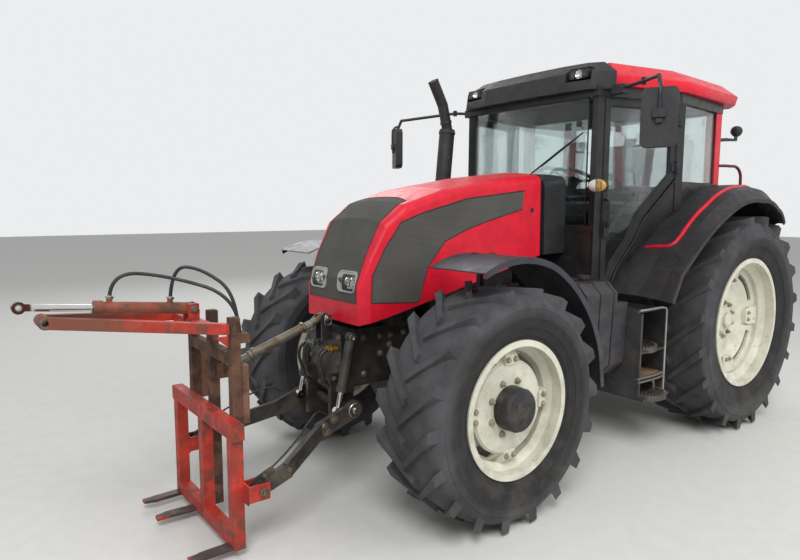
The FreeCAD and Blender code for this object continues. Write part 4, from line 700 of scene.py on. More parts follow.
# headlamps and the nose
LAMP_Y, LAMP_Z, BOWL_X, BEFORE_NOSE = 172, 1300, 3158, 3400
NOSE = ["headlamps", "bonnet_shell", "front_grille"]
for s, tag in SIDES:
    y = s * LAMP_Y
    bm = bmesh.new()
    rings = []
    for dx, w, h, r in ((0.000, 0.126, 0.096, 0.016), (-0.012, 0.118, 0.088, 0.015),
                        (-0.046, 0.108, 0.080, 0.014), (-0.048, 0.070, 0.052, 0.010)):
        seen = [W(BEFORE_NOSE, y, LAMP_Z) + Vector((0, u, v)) for u, v in rounded(w, h, r, 7)]
        rings.append([bm.verts.new(p + Vector((dx, 0, 0))) for p in laid(["headlamps"], seen, (-1, 0, 0),
                -0.003)])
    skin(bm, rings, last=True)
    mesh_piece("headlamp_tray_" + tag, bm, "black_plastic", "bonnet", sharp=30)
    bm = bmesh.new()
    for dy, r in ((s * 0.026, 0.031), (s * -0.030, 0.024)):
        spun(bm, W(BOWL_X - 52, y, LAMP_Z) + Vector((0, dy, 0)), (1, 0, 0.12),
             [(0.004, 0), (0.003, r * 0.30), (0.006, r * 0.55), (0.014, r * 0.82), (0.026, r * 1.0),
              (0.028, r * 1.05), (0.026, r * 1.09), (0.012, r * 0.95), (0.0, r * 0.5), (-0.001, 0)], 32)
        spun(bm, W(BOWL_X - 50, y, LAMP_Z) + Vector((0, dy, 0)), (1, 0, 0.12),
             [(0.0, 0), (0.0, 0.006), (0.020, 0.006), (0.025, 0.004), (0.027, 0)], 16)
    mesh_piece("headlamp_bowls_" + tag, bm, "reflector", "bonnet", sharp=50)
for s, tag in SIDES:
    turned("bonnet_lock_" + tag, "black_plastic", W(1787, s * 371, 1725), (0, s, 0),
           [(-0.004, 0), (-0.004, 0.017), (0.004, 0.017), (0.006, 0.015), (0.0055, 0.011), (0.003, 0.010),
            (0.003, 0)], 28, body="bonnet")

# seals along every pane


def in_world(node):
    """A CAD node's mesh in the world's frame, its doubled corners joined."""
    src = bmesh.new()
    src.from_mesh(NODE[node].data)
    src.transform(NODE[node].matrix_world)
    bmesh.ops.remove_doubles(src, verts=src.verts, dist=0.00005)
    src.faces.ensure_lookup_table()
    return src


def pane_loops(node, least):
    """Outlines of a pane's large flat outer faces."""
    src, cab_middle = in_world(node), W(690, 0, 2000)
    groups = {}
    for f in src.faces:
        key = tuple(round(v, 2) for v in f.normal) + (round(f.normal.dot(f.calc_center_median()), 3),)
        groups.setdefault(key, []).append(f)
    out = []
    for key, faces in groups.items():
        if sum(f.calc_area() for f in faces) < least:
            continue
        ids = {f.index for f in faces}
        nxt = {}
        for f in faces:
            for lp in f.loops:
                if sum(1 for g in lp.edge.link_faces if g.index in ids) == 1:
                    nxt[lp.vert] = lp.link_loop_next.vert
        while nxt:
            loop, v = [], next(iter(nxt))
            while v in nxt:
                loop.append(v.co.copy())
                v = nxt.pop(v)
            middle = sum(loop, Vector()) / len(loop)
            nrm = Vector(key[:3])
            if nrm.dot(middle - cab_middle) > 0 and len(loop) > 3:
                out.append((loop, nrm))
    src.free()
    return out


for node, body in (("cab_glass", "chassis"), ("door_left_glass", "door_l"), ("door_right_glass", "door_r")):
    for i, (loop, nrm) in enumerate(pane_loops(node, 0.06)):
        pipe("%s_seal_%d" % (node, i), [p + nrm * 0.001 for p in loop], 0.0065, "seal_rubber", body,
             cyclic=True)

# rear fender mouldings
STRIPE = [(1012, 770, 1463, .75), (1006, 840, 1470, 1), (1003, 905, 1475, 1), (998, 945, 1481, 1),
          (975, 970, 1504, 1), (922, 982, 1554, 1), (861, 985, 1611, 1), (790, 986, 1665, 1),
          (714, 986, 1709, 1), (630, 984, 1752, 1),
          (546, 980, 1790, 1), (470, 978, 1824, 1), (394, 976, 1851, 1), (300, 972, 1877, 1),
          (213, 968, 1893, 1), (120, 962, 1902, .95), (32, 956, 1906, .9), (-60, 950, 1905, .8),
          (-150, 944, 1896, .6), (-230, 940, 1880, .35), (-290, 938, 1860, .12)]
for s, tag in SIDES:
    pts, fat = [], []
    for x, y, z, share in STRIPE:
        h = hit(["rear_fenders"], W(x + 60, s * y, z + 90), (-60, 0, -90))
        if h:
            pts.append(h[0] + Vector((0, 0, -0.002)))
            fat.append(share)
    pipe("rear_fender_stripe_" + tag, pts, 0.0155, "red_paint", radii=fat)

# lamps, in place of the plain lamp blocks
def lamp_unit(name, centre, axis, w, h, deep, r, lens, proud=0.004):
    """A housing with its own rim, a bright dish with a bulb, and a bowed lens over it."""
    m = place(centre, axis)

    def ring(z, k):
        return [bm.verts.new(m @ Vector((x, y, z))) for x, y in rounded(w * k, h * k, min(r, h * k / 2.05),
                6)]

    bm = bmesh.new()
    shell = ((-deep, 0.78), (-deep * 0.85, 0.9), (-0.004, 1.0), (0.0, 1.0), (0.0015, 0.97), (0.0015, 0.90),
             (-0.003, 0.88), (-deep * 0.6, 0.7))
    skin(bm, [ring(z, k) for z, k in shell], True, True)
    housing = mesh_piece(name + "_housing", bm, "black_plastic", sharp=32)
    bm = bmesh.new()
    dish = min(w, h) * 0.40
    spun(bm, m @ Vector((0, 0, -deep * 0.58)), axis, [(0.003, 0), (0.003, dish * 0.3), (0.008, dish * 0.6),
            (deep * 0.42, dish), (deep * 0.44, dish * 1.06), (0.0, dish * 0.6), (0.0, 0)], 28)
    spun(bm, m @ Vector((0, 0, -deep * 0.56)), axis, [(0, 0), (0, dish * 0.18), (deep * 0.25, dish * 0.18),
            (deep * 0.32, 0)], 14)
    mesh_piece(name + "_dish", bm, "reflector", sharp=50)
    bm = bmesh.new()
    bow = ((-0.0035, 0.885), (-0.001, 0.885), (proud * 0.6, 0.80), (proud, 0.5))
    skin(bm, [ring(z, k) for z, k in bow], True, True)
    mesh_piece(name + "_lens", bm, lens, sharp=50)
    return housing


first = None
for s, tag in SIDES:
    unit = lamp_unit("visor_lamp_" + tag, W(1499, s * 500, 2648), (1, 0, 0.02), 0.146, 0.064, 0.060, 0.012,
                     "lamp_lens")
    first = first or unit
    plate("side_lamp_bracket_" + tag, "black_paint", Matrix.Translation(W(1438, s * 612, 1890)),
          rounded(0.030, 0.075, 0.008), -0.008, 0.026, bevel=0.002)
    lamp_unit("rear_lamp_" + tag, W(-566, s * 795, 1610), (-1, 0, 0), 0.150, 0.080, 0.024, 0.010,
              "tail_lens")
    plate("rear_indicator_" + tag, "amber_lens", place(W(-570.5, s * 838, 1610), (-1, 0, 0)),
          rounded(0.050, 0.066, 0.006), 0.0, 0.003, bevel=0.001)
    plate("rear_lamp_foot_" + tag, "black_plastic", place(W(-527, s * 795, 1610), (-1, 0, 0)),
          rounded(0.060, 0.030, 0.006), -0.018, 0.018, bevel=0.002)
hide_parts("lamps")

# mirrors, wiper, handles, rails
for s, tag in SIDES:
    turn = tilted(W(1724, s * 1238, 2256), 28 * s, "Z")
    plate("mirror_glass_" + tag, "mirror_glass", turn @ frame_of((-1, 0, 0)),
          rounded(0.172, 0.300, 0.034, 8), 0.0292, 0.0318, bevel=0.001)
    pipe("mirror_rim_" + tag, [turn @ (frame_of((-1, 0, 0)) @ Vector((x, y, 0.029))) for x,
                               y in rounded(0.184, 0.316, 0.036, 8)], 0.0045, "seal_rubber", cyclic=True)
    pipe("mirror_stay_" + tag, [W(1720, s * 1240, 2452), turn @ Vector((0.020, 0, 0.186)),
                                turn @ Vector((0.042, 0, 0.160)), turn @ Vector((0.043, 0, 0.120)),
                                turn @ Vector((0.043, 0, -0.002))], 0.0095, "black_paint")
    bm = bmesh.new()
    slab(bm, turn @ Matrix.Translation((0.030, 0, 0.020)) @ frame_of((1, 0, 0)),
         rounded(0.075, 0.050, 0.008), -0.004, 0.022)
    slab(bm, turn @ Matrix.Translation((0.030, 0, -0.022)) @ frame_of((1, 0, 0)),
         rounded(0.040, 0.026, 0.006), -0.004, 0.016)
    mesh_piece("mirror_clamp_" + tag, bm, "black_plastic", bevel=0.003)
    bm = bmesh.new()
    for dz in (-0.017, 0.017):
        spun(bm, W(1345, s * 900, 2560) + Vector((0, 0, dz)), (0, 0, 1),
             [(-0.006, 0), (-0.006, 0.017), (0.006, 0.017), (0.006, 0)], 20)
    mesh_piece("mirror_joint_" + tag, bm, "black_paint", bevel=0.001)

GLASS_X = 1429
turned("wiper_boss", "black_plastic", W(GLASS_X - 2, 19, 1962), (1, 0, 0),
       [(0, 0), (0, 0.022), (0.012, 0.020), (0.026, 0.014), (0.030, 0.008), (0.030, 0)], 24)
pipe("wiper_arm", line(1, (1450, 19, 1962), (1455, 60, 1990), (1448, 330, 2153)), 0.006, "black_paint")
pipe("wiper_blade", line(1, (1437, 150, 2046), (1434, 330, 2153), (1437, 510, 2260)), 0.0055, "seal_rubber")
pipe("wiper_yoke", line(1, (1437, 190, 2070), (1446, 260, 2114), (1448, 330, 2155), (1446, 400, 2196),
                        (1437, 470, 2236)), 0.0035, "black_paint")

DOOR_AT = tilted(W(700, 820, 0), -14.7, "Z")


def in_door(x, y, z, s=1):
    p = DOOR_AT @ Vector((x / 1000, y / 1000, z / 1000))
    return Vector((p.x, p.y * s, p.z))


def door_line(s, *points):
    return [in_door(x, y, z, s) for x, y, z in points]


DOOR_RIM = [(45, 2482), (697, 2482), (697, 1207), (625, 1207), (560, 1336), (415, 1527), (336, 1677),
            (206, 1807), (45, 1966)]
STRIP = [(596, 1196), (540, 1322), (396, 1508), (317, 1656), (188, 1785), (30, 1943)]
for s, tag in SIDES:
    body = "door_" + tag[0]
    pipe("door_seal_" + tag, [in_door(x + (3 if x < 50 else -2), 0.5, z, s) for x, z in DOOR_RIM], 0.005,
         "seal_rubber", body, cyclic=True)
    pipe("sill_moulding_" + tag, [in_door(x, -2, z, s) for x, z in STRIP], 0.008, "seal_rubber")
    # pull handle with its two feet, and the lock below it
    pipe("door_pull_" + tag, door_line(s, (672, 0, 1800), (672, 34, 1795), (672, 42, 1770), (672, 42, 1640),
                                       (672, 34, 1615), (672, 0, 1610)), 0.010, "black_plastic", body)
    turned("door_lock_" + tag, "steel", in_door(668, -1, 1560, s), in_door(0, 1, 0, s) - in_door(0, 0, 0,
            s), [(0, 0), (0, 0.021), (0.008, 0.021), (0.011, 0.018), (0.010, 0.012), (0.006, 0.011),
                 (0.006, 0)], 28, body=body)
    # rail inside the door
    pipe("door_rail_" + tag, door_line(s, (668, -36, 1420), (650, -70, 1430), (560, -78, 1580),
                                       (430, -78, 1760), (400, -70, 1820), (396, -20, 1840)), 0.011,
                                       "black_paint", body, kind="BEZIER")
    # rail behind the rear pillar
    pipe("rear_rail_" + tag, line(s, (-52, 738, 2085), (-180, 770, 2086), (-275, 790, 2075),
                                  (-312, 800, 2030), (-322, 802, 1960), (-324, 803, 1868)), 0.012,
                                  "rail_maroon", kind="BEZIER")
    # lamp arm at the top of the rear pillar
    pipe("work_lamp_arm_" + tag, line(s, (-55, 728, 2290), (-150, 740, 2300), (-300, 752, 2306),
                                      (-300, 752, 2346)), 0.014, "black_paint")
    turned("work_lamp_" + tag, "black_plastic", W(-262, s * 752, 2382), (-1, 0, -0.12),
           [(0, 0), (0.004, 0.024), (0.022, 0.040), (0.050, 0.045), (0.056, 0.045), (0.057, 0.041),
            (0.052, 0.039), (0.030, 0.028), (0.024, 0)], 32, sharp=30)
    turned("work_lamp_lens_" + tag, "lamp_lens", W(-262, s * 752, 2382), (-1, 0, -0.12),
           [(0.0525, 0), (0.0525, 0.0395), (0.055, 0.0395), (0.058, 0.02), (0.0585, 0)], 32, sharp=40)

# seat
def cushion(name, m, w, d, h, crown, welt, channels):
    """A crowned pad: sides pull in between the corners, sewn channels cross the top, a welt runs round the edge."""
    bm = bmesh.new()
    nx, ny = 28, 28
    grids = []
    for top_side in (1, 0):
        g = []
        for i in range(nx + 1):
            row = []
            for j in range(ny + 1):
                u, v = -1 + 2 * i / nx, -1 + 2 * j / ny
                pull_x = 1 - 0.035 * (1 - v * v) * abs(u) ** 3
                pull_y = 1 - 0.035 * (1 - u * u) * abs(v) ** 3
                edge = max(0.0, (1 - abs(u) ** 5)) ** 0.5 * max(0.0, (1 - abs(v) ** 5)) ** 0.5
                groove = sum(math.exp(-((v - c) / 0.035) ** 2) for c in channels) * (1 - abs(u) ** 6)
                x, y = u * w / 2 * pull_x, v * d / 2 * pull_y
                z = h * 0.5 + edge * (crown + h
                                      * 0.30) - h * 0.28 - groove * 0.011 if top_side else -h * 0.5 + h * 0.26 * (1 - edge)
                row.append(bm.verts.new(m @ Vector((x, y, z))))
            g.append(row)
        grids.append(g)
    up, low = grids
    for i in range(nx):
        for j in range(ny):
            bm.faces.new((up[i][j], up[i + 1][j], up[i + 1][j + 1], up[i][j + 1]))
            bm.faces.new((low[i][j], low[i][j + 1], low[i + 1][j + 1], low[i + 1][j]))
    rim_up, rim_low = ([g[i][0] for i in range(nx)] + g[nx][:ny] + [g[i][ny] for i in range(nx, 0, -1)]
                       + g[0][ny:0:-1]
                       for g in grids)
    for k in range(len(rim_up)):
        bm.faces.new((rim_up[k], rim_low[k], rim_low[(k + 1) % len(rim_up)], rim_up[(k + 1) % len(rim_up)]))
    line = [v.co.copy() for v in rim_up]
    ob = mesh_piece(name, bm, "seat_cloth", sharp=70)
    sub = ob.modifiers.new("smooth", "SUBSURF")
    sub.levels = sub.render_levels = 1
    pipe(name + "_welt", line, welt, "seal_rubber", cyclic=True)
    return ob


seat = cushion("seat_cushion", tilted(W(362, 0, 1728), -3, "Y"), 0.470, 0.480, 0.100, 0.012, 0.004,
               (-0.42, 0.42))
back_turn = tilted(W(108, 0, 2010), 81, "Y")
cushion("seat_back", back_turn, 0.560, 0.450, 0.085, 0.010, 0.004, (-0.45, 0.45))
cushion("seat_headrest", tilted(W(62, 0, 2262), 81, "Y"), 0.060, 0.260, 0.070, 0.008, 0.003, ())
cushion("armrest_pad", Matrix.Translation(W(350, 280, 1893)), 0.310, 0.056, 0.050, 0.006, 0.0025, ())
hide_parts("driver_seat")
bm = bmesh.new()
for k in range(6):
    z0, z1 = 1492 + k * 28, 1506 + k * 28
    for za, zb, ra, rb in ((z0, z1, 0.176, 0.196), (z1, z0 + 28, 0.196, 0.176)):
        a = [bm.verts.new(W(322, 0, za) + Vector((x, y, 0))) for x, y in rounded(2 * ra, 2 * ra, 0.05, 5)]
        b = [bm.verts.new(W(322, 0, zb) + Vector((x, y, 0))) for x, y in rounded(2 * rb, 2 * rb, 0.05, 5)]
        skin(bm, [a, b])
bmesh.ops.remove_doubles(bm, verts=bm.verts, dist=0.0004)
mesh_piece("seat_bellows", bm, "black_plastic", sharp=50)
bm = bmesh.new()
slab(bm, Matrix.Translation(W(340, 0, 1660)), rounded(0.44, 0.42, 0.03), 0.0, 0.018)
slab(bm, Matrix.Translation(W(322, 0, 1486)), rounded(0.40, 0.38, 0.02), 0.0, 0.012)
mesh_piece("seat_pan", bm, "black_plastic", bevel=0.004)
bm = bmesh.new()
slab(bm, place(W(180, 265, 1800), (0, 1, 0)), rounded(0.050, 0.120, 0.012), -0.014, 0.014)
slab(bm, Matrix.Translation(W(340, 280, 1868)), rounded(0.30, 0.050, 0.01), -0.012, 0.006)
mesh_piece("armrest_link", bm, "black_plastic", bevel=0.003)

# console and wheel
wheel_m = tilted(W(840, 0, 1960), -28, "Y")
turned("wheel_hub", "black_plastic", wheel_m.translation, wheel_m.to_3x3() @ Vector((0, 0, 1)),
       [(0.003, 0), (0.003, 0.052), (0.016, 0.050), (0.024, 0.040), (0.028, 0.022), (0.028, 0)], 32)
for tag, p0, p1 in (("shuttle_lever", (960, 20, 1860), (900, 190, 1900)), ("signal_lever", (960, -20, 1860),
        (905, -190, 1890))):
    pipe(tag, [W(*p0), W(*p1)], 0.005, "black_paint")
    bm = bmesh.new()
    way = (W(*p1) - W(*p0)).normalized()
    spun(bm, W(*p1), way, [(-0.02, 0), (-0.02, 0.008), (0.0, 0.012), (0.02, 0.010), (0.028, 0.005),
                           (0.030, 0)], 18)
    mesh_piece(tag + "_knob", bm, "black_plastic")
bm = bmesh.new()
dash = place(W(1085, 0, 1792), (-0.75, 0, 0.66))
slab(bm, dash, rounded(0.36, 0.13, 0.03, 6), -0.02, 0.012)
mesh_piece("dash_binnacle", bm, "black_plastic", bevel=0.006, seg=3)
bm = bmesh.new()
for dx in (-0.10, 0.0, 0.10):
    spun(bm, dash @ Vector((dx, 0, 0.012)), dash.to_3x3() @ Vector((0, 0, 1)),
         [(0, 0), (0, 0.040), (0.004, 0.040), (0.006, 0.037), (0.003, 0.035), (0.002, 0)], 32)
mesh_piece("dash_dials", bm, "grey_plastic")

# roof lining, bonnet gaskets
bm = bmesh.new()
LINING = [(1366, 552), (704, 736), (20, 668), (20, -668), (704, -736), (1366, -552)]
slab(bm, Matrix.Identity(4), [tuple(W(x, y, 0).xy) for x, y in LINING], 2.4995, 2.506)
slab(bm, Matrix.Translation(W(1180, 0, 2484)), rounded(0.26, 0.90, 0.05, 6), 0.0, 0.018)
for y in (-340, 340):
    spun(bm, W(1180, y, 2485), (0, 0, -1), [(0, 0), (0, 0.042), (0.008, 0.040), (0.006, 0.030),
                                            (0.002, 0.028), (0.002, 0)], 28)
mesh_piece("roof_lining", bm, "lining", bevel=0.004)


def rim_chains(node, keep):
    """Sharp outer edges of a node as chains of points."""
    src, near, bonnet_middle = in_world(node), {}, W(2300, 0, 1300)
    for e in src.edges:
        sharp = len(e.link_faces) == 2 and e.calc_face_angle(0) > math.radians(40)
        if sharp and any(keep(f.normal) for f in e.link_faces) and keep(e.verts[0].co - bonnet_middle):
            for a, b in (e.verts, reversed(e.verts)):
                near.setdefault(a, []).append(b)
    out, seen = [], set()
    for start in list(near):
        if start in seen:
            continue
        chain, v = [], start
        while v is not None and v not in seen:
            seen.add(v)
            chain.append(v.co.copy())
            v = next((w for w in near[v] if w not in seen), None)
        if len(chain) > 8 and sum((b - a).length for a, b in zip(chain, chain[1:])) > 0.5:
            out.append((chain, (chain[0] - chain[-1]).length < 0.03))
    src.free()
    return out


for node, keep in (("bonnet_side_mesh", lambda n: abs(n.y) > 0.15),
                   ("front_grille", lambda n: n.x > 0.15 or n.z > 0.3)):
    for i, (chain, closed) in enumerate(rim_chains(node, keep)):
        pipe("%s_gasket_%d" % (node, i), chain, 0.0032, "seal_rubber", "bonnet", cyclic=closed)

# tank and steps
TANK_RIB = [(620, 610), (752, 601), (762, 603), (829, 678), (833, 690), (851, 1176), (846, 1190),
            (786, 1247), (772, 1251), (520, 1251)]
for s, tag in SIDES:
    for i, x in enumerate((1500, 1650)):
        pipe("tank_strap_%s_%d" % (tag, i), [W(x, s * y, z) for y, z in TANK_RIB], 0.0055, "black_paint")
    bm = bmesh.new()
    spun(bm, W(1575, s * 660, 1249), (0, 0, 1), [(0, 0), (0, 0.034), (0.012, 0.034), (0.012, 0.046),
            (0.034, 0.045), (0.038, 0.041), (0.038, 0)], 36)
    for k in range(12):
        a = math.tau * k / 12
        slab(bm, Matrix.Translation(W(1575, s * 660, 1249)
                                    + Vector((0.0455 * math.cos(a), 0.0455 * math.sin(a), 0.023)))
                                    @ Matrix.Rotation(a, 4, "Z"), rounded(0.005, 0.006, 0.002, 2), -0.009,
                                    0.009)
    mesh_piece("tank_cap_" + tag, bm, "black_plastic", bevel=0.001)

    # oval treads with a toothed rim, and the worn plate between them
    for i, (cx, cy, z, lx, ly) in enumerate(((1161, 802, 760, 0.276, 0.306),
            (1161, 866, 440, 0.276, 0.345))):
        bm = bmesh.new()
        m = Matrix.Translation(W(cx, s * cy, z))
        outer, inner = rounded(lx, ly, 0.125, 14), rounded(lx - 0.022, ly - 0.022, 0.114, 14)
        rows = [[bm.verts.new(m @ Vector((x, y, h))) for x, y in loop] for loop,
                h in ((outer, -0.014), (outer, 0.024), (inner, 0.024), (inner, -0.014))]
        skin(bm, rows + rows[:1])
        total = len(outer)
        walk = [(Vector(outer[k]), Vector(outer[(k + 1) % total])) for k in range(total)]
        step, carry = 0.024, 0.0
        for p, q in walk:
            long = (q - p).length
            while carry < long:
                mid = p.lerp(q, carry / long)
                way = (q - p).normalized()
                inward = Vector((-way.y, way.x)) * 0.011
                tooth = m @ Matrix.Translation((mid.x + inward.x, mid.y + inward.y,
                        0.024)) @ Matrix.Rotation(math.atan2(way.y, way.x), 4,
                                "Z") @ Matrix.Rotation(math.pi / 2, 4, "X")
                slab(bm, tooth, [(-0.009, -0.001), (0.009, -0.001), (0.004, 0.009), (-0.004, 0.009)],
                     -0.009, 0.009)
                carry += step
            carry -= long
        for u in range(-4, 5):
            half = (ly / 2 - 0.016) * math.sqrt(max(0.05, 1 - (u / 5.2) ** 4))
            slab(bm, m @ Matrix.Translation((u * 0.027, 0, 0.012)), rounded(0.007, 2 * half, 0.003, 2),
                 -0.006, 0.010)
        mesh_piece("tread_%s_%d" % (tag, i), bm, "worn_steel", bevel=0.0012, seg=1)
    bm = bmesh.new()
    slab(bm, Matrix.Translation(W(1161, s * 790, 592)), rounded(0.300, 0.295, 0.02, 5), -0.006, 0.0)
    for i in range(9):
        for j in range(9):
            a = 0.75 if (i + j) % 2 else -0.75
            slab(bm, Matrix.Translation(W(1161 + (i - 4) * 31, s * (790 + (j - 4) * 30), 592))
                 @ Matrix.Rotation(a, 4, "Z"), [(-0.011, 0), (0, -0.0028), (0.011, 0), (0, 0.0028)],
                 -0.0005, 0.0016)
    mesh_piece("tread_plate_" + tag, bm, "mud_steel", bevel=0.0)
    pipe("step_rim_" + tag, line(s, (1008, 950, 446), (1008, 950, 1024), (1012, 946, 1043),
                                 (1030, 922, 1047), (1300, 922, 1047)), 0.007, "bezel_grey")
    bolts("step_bolts_" + tag, [(W(x, s * 641, z), (0, s, 0)) for x in (1040, 1282) for z in (800, 960)]
          + [(W(1331, s * 730, z), (1, 0, 0)) for z in (915, 945)], 0.010, 0.008)

# front casting, couplers and lines
for s, tag in SIDES:
    bolts("casting_bolts_" + tag, beside(s, 180, (2938, 957), (2861, 953), (2938, 850), (2869, 897),
                                         (3060, 960), (3060, 740), (2760, 960), (2760, 720)), 0.015, 0.013)
    bolts("nose_bolts_" + tag, [(W(3220, s * y, z), (1, 0, 0)) for y,
                                z in ((155, 975), (155, 820), (60, 670), (155, 665))], 0.013, 0.011)
    bolts("pivot_plate_bolts_" + tag, beside(s, 150, (3140, 735), (3250, 735), (3140, 500), (3250, 500)),
          0.012, 0.010)
    bm = bmesh.new()
    for y, z in ((88, 905), (128, 905)):
        spun(bm, W(3219, s * y, z), (1, 0, 0), [(0, 0), (0, 0.021), (0.010, 0.021), (0.010, 0.015),
                (0.020, 0.015), (0.020, 0.019), (0.044, 0.019), (0.046, 0.017), (0.046, 0.013),
                (0.060, 0.013), (0.062, 0.011), (0.062, 0)], 24)
    mesh_piece("couplers_" + tag, bm, "brass" if s > 0 else "steel", sharp=30)
    for i, (y, drop) in enumerate(((88, 0), (128, 30))):
        pipe("nose_line_%s_%d" % (tag, i), line(s, (3278, y, 905), (3300, y, 902),
                (3318 + drop / 3, y - 2, 868), (3312, y - 6, 790 - drop), (3280, y - 12, 712 - drop),
                (3240, y - 14, 690 - drop), (3205, y - 16, 688 - drop)),
             0.0095, "hose_rubber", kind="BEZIER")
    # ram pins and pivot pins
    turned("ram_pin_cap_" + tag, "steel", W(3180, s * 238, 985), (0, s, 0),
           [(0, 0), (0, 0.021), (0.004, 0.022), (0.008, 0.020), (0.008, 0.010), (0.006, 0.008), (0.006, 0)],
           28)
    turned("arm_pivot_cap_" + tag, "steel", W(3190, s * 277, 564.5), (0, s, 0),
           [(-0.001, 0), (-0.001, 0.045), (0.006, 0.045), (0.010, 0.041), (0.010, 0.022), (0.018, 0.021),
            (0.022, 0.016), (0.022, 0)], 32, body="front_arms", sharp=30)
    bolts("arm_bolts_" + tag, beside(s, 277, (3330, 538), (3378, 476), (3398, 512)), 0.019, 0.016,
          body="front_arms")
    # hook: latch lever, its spring pin and pull ring
    bm = bmesh.new()
    m = tilted(W(3836, s * 420, 392), 24, "Y")
    slab(bm, m @ frame_of((0, 1, 0)), rounded(0.120, 0.036, 0.012), -0.007, 0.007)
    mesh_piece("hook_latch_" + tag, bm, "dark_metal", "front_arms", bevel=0.002)
    bolts("hook_bolts_" + tag, [(W(3738, s * 437, 368), (0, s, 0)), (W(3700, s * 437, 392), (0, s, 0)),
                                (W(3836, s * 427, 392), (0, s, 0))], 0.010, 0.008, body="front_arms")
    pipe("latch_pull_" + tag, line(s, (3796, 420, 420), (3740, 424, 462), (3640, 396, 520),
                                   (3520, 340, 590), (3440, 296, 610), (3380, 280, 578)), 0.0055,
                                   "hose_rubber", "front_arms", kind="BEZIER")

# top link: turnbuckle threads, lock nut, grip and pin with a loop handle
LINK_PIN = W(3232, 0, 1080)
LINK = (W(3860, 0, 860) - LINK_PIN).normalized()
bm = bmesh.new()
for near, far, start in ((88, 150, 1), (515, 590, -1)):
    spun(bm, LINK_PIN + LINK * near / 1000, LINK, [(0, 0)] + [(k * 0.0035, 0.0235 if k % 2 else 0.0215)
            for k in range(int((far - near) / 3.5))] + [((far - near) / 1000, 0)], 24)
mesh_piece("toplink_thread", bm, "steel", "front_toplink", sharp=20)
bm = bmesh.new()
spun(bm, LINK_PIN + LINK * 0.140, LINK, [(0, 0.0215), (0, 0.036), (0.016, 0.036), (0.016, 0.0215)], 6)
spun(bm, LINK_PIN + LINK * 0.470, LINK, [(0, 0.027), (0, 0.034), (0.022, 0.034), (0.022, 0.027)], 28)
mesh_piece("toplink_nuts", bm, "stained_steel", "front_toplink", bevel=0.001)
side = Vector((0, 1, 0))
lift = LINK.cross(side) * -1
grip = LINK_PIN + LINK * 0.30
pipe("toplink_grip", [grip - side * 0.026, grip - side * 0.060 + lift * 0.012, grip - side * 0.064 + LINK
                      * 0.05 + lift * 0.016, grip - side * 0.060 + LINK * 0.10 + lift * 0.012,
                      grip - side * 0.026 + LINK * 0.10], 0.006, "steel", "front_toplink", kind="BEZIER")
bm = bmesh.new()
for s in (1, -1):
    spun(bm, W(3232, s * 46, 1080), (0, s, 0), [(0.0, 0), (0.0, 0.020), (0.004, 0.020), (0.006, 0.018),
            (0.006, 0.012), (0.012, 0.012), (0.014, 0.010), (0.014, 0)], 24)
mesh_piece("toplink_pin_collars", bm, "steel")
pipe("toplink_linch_ring", [W(3232 + 24 * math.cos(a), 57, 1080 - 18 + 24 * math.sin(a))
                            for a in [k * math.tau / 18 for k in range(18)]], 0.0028, "steel", cyclic=True)

# lifting frame: caps, weld beads, gussets, pins
bm = bmesh.new()
for y in (-290, 0, 290):
    slab(bm, Matrix.Translation(W(3920, y, 1190)), rounded(0.047, 0.047, 0.004), -0.001, 0.003)
mesh_piece("mast_caps", bm, "rusty_steel", "lift_frame", bevel=0.001)


def bead(name, pts, body="lift_frame", r=0.0042, mat="rusty_steel"):
    """A hand weld: a run of overlapping lens-shaped beads."""
    bm = bmesh.new()
    for p, q in zip(pts, pts[1:]):
        p, q = Vector(p), Vector(q)
        long = (q - p).length
        for k in range(max(2, int(long / 0.005))):
            c = p.lerp(q, (k + 0.5) / max(2, int(long / 0.005)))
            spun(bm, c - (q - p).normalized() * 0.0035, q - p, [(0, 0), (0.0016, r * 0.8), (0.0038, r),
                    (0.0060, r * 0.75), (0.0072, 0)], 8)
    return mesh_piece(name, bm, mat, body, sharp=60)


for i, y in enumerate((-290, 0, 290)):
    for z in (950, 1010):
        bead("mast_weld_%d_%d" % (i, z), line(1, (3895, y + (25.5 if y <= 0 else -25.5), z),
                (3944, y + (25.5 if y <= 0 else -25.5), z)))
for i, y in enumerate((-397, 0, 397)):
    for z in (612, 112):
        bead("carriage_weld_%d_%d" % (i, z), line(1, (4004, y - 31.5, z - 2 if z > 300 else z + 4),
                (3946, y - 31.5, z - 2 if z > 300 else z + 4)))
for s, tag in SIDES:
    bm = bmesh.new()
    m = place(W(3946, s * 290, 1100), (0, 1, 0))
    slab(bm, m, [(0.0, 0.0), (-0.070, 0.0), (0.0, -0.062)], -0.005, 0.005)
    mesh_piece("arm_gusset_" + tag, bm, "red_worn", "lift_frame", bevel=0.001)
    turned("hook_pin_head_" + tag, "stained_steel", W(3860, s * 476, 330), (0, s, 0),
           [(-0.002, 0), (-0.002, 0.024), (0.004, 0.024), (0.006, 0.020), (0.006, 0.014), (0.016, 0.014),
            (0.018, 0.011), (0.018, 0)], 24, body="lift_frame")
    bead("hook_weld_" + tag, line(s, (3944, 471, 290), (3944, 471, 371)))
    turned("grab_pin_head_" + tag, "stained_steel", W(4030, s * 50, 1213), (0, s, 0),
           [(-0.004, 0), (-0.004, 0.020), (0.003, 0.020), (0.004, 0.016), (0.010, 0.013), (0.010, 0)], 24,
           body="lift_frame")
    bead("grab_weld_" + tag, line(s, (4002, 46, 1158.5), (4058, 46, 1158.5)))
bm = bmesh.new()
barrel = W(4030, 0, 1213)
way = Vector((math.cos(math.radians(5.56)), 0, math.sin(math.radians(5.56))))
spun(bm, barrel + way * 0.452, way, [(0, 0.0175), (0, 0.034), (0.019, 0.034), (0.021, 0.031),
                                     (0.0215, 0.024), (0.019, 0.0195), (0.019, 0.0175)], 6)
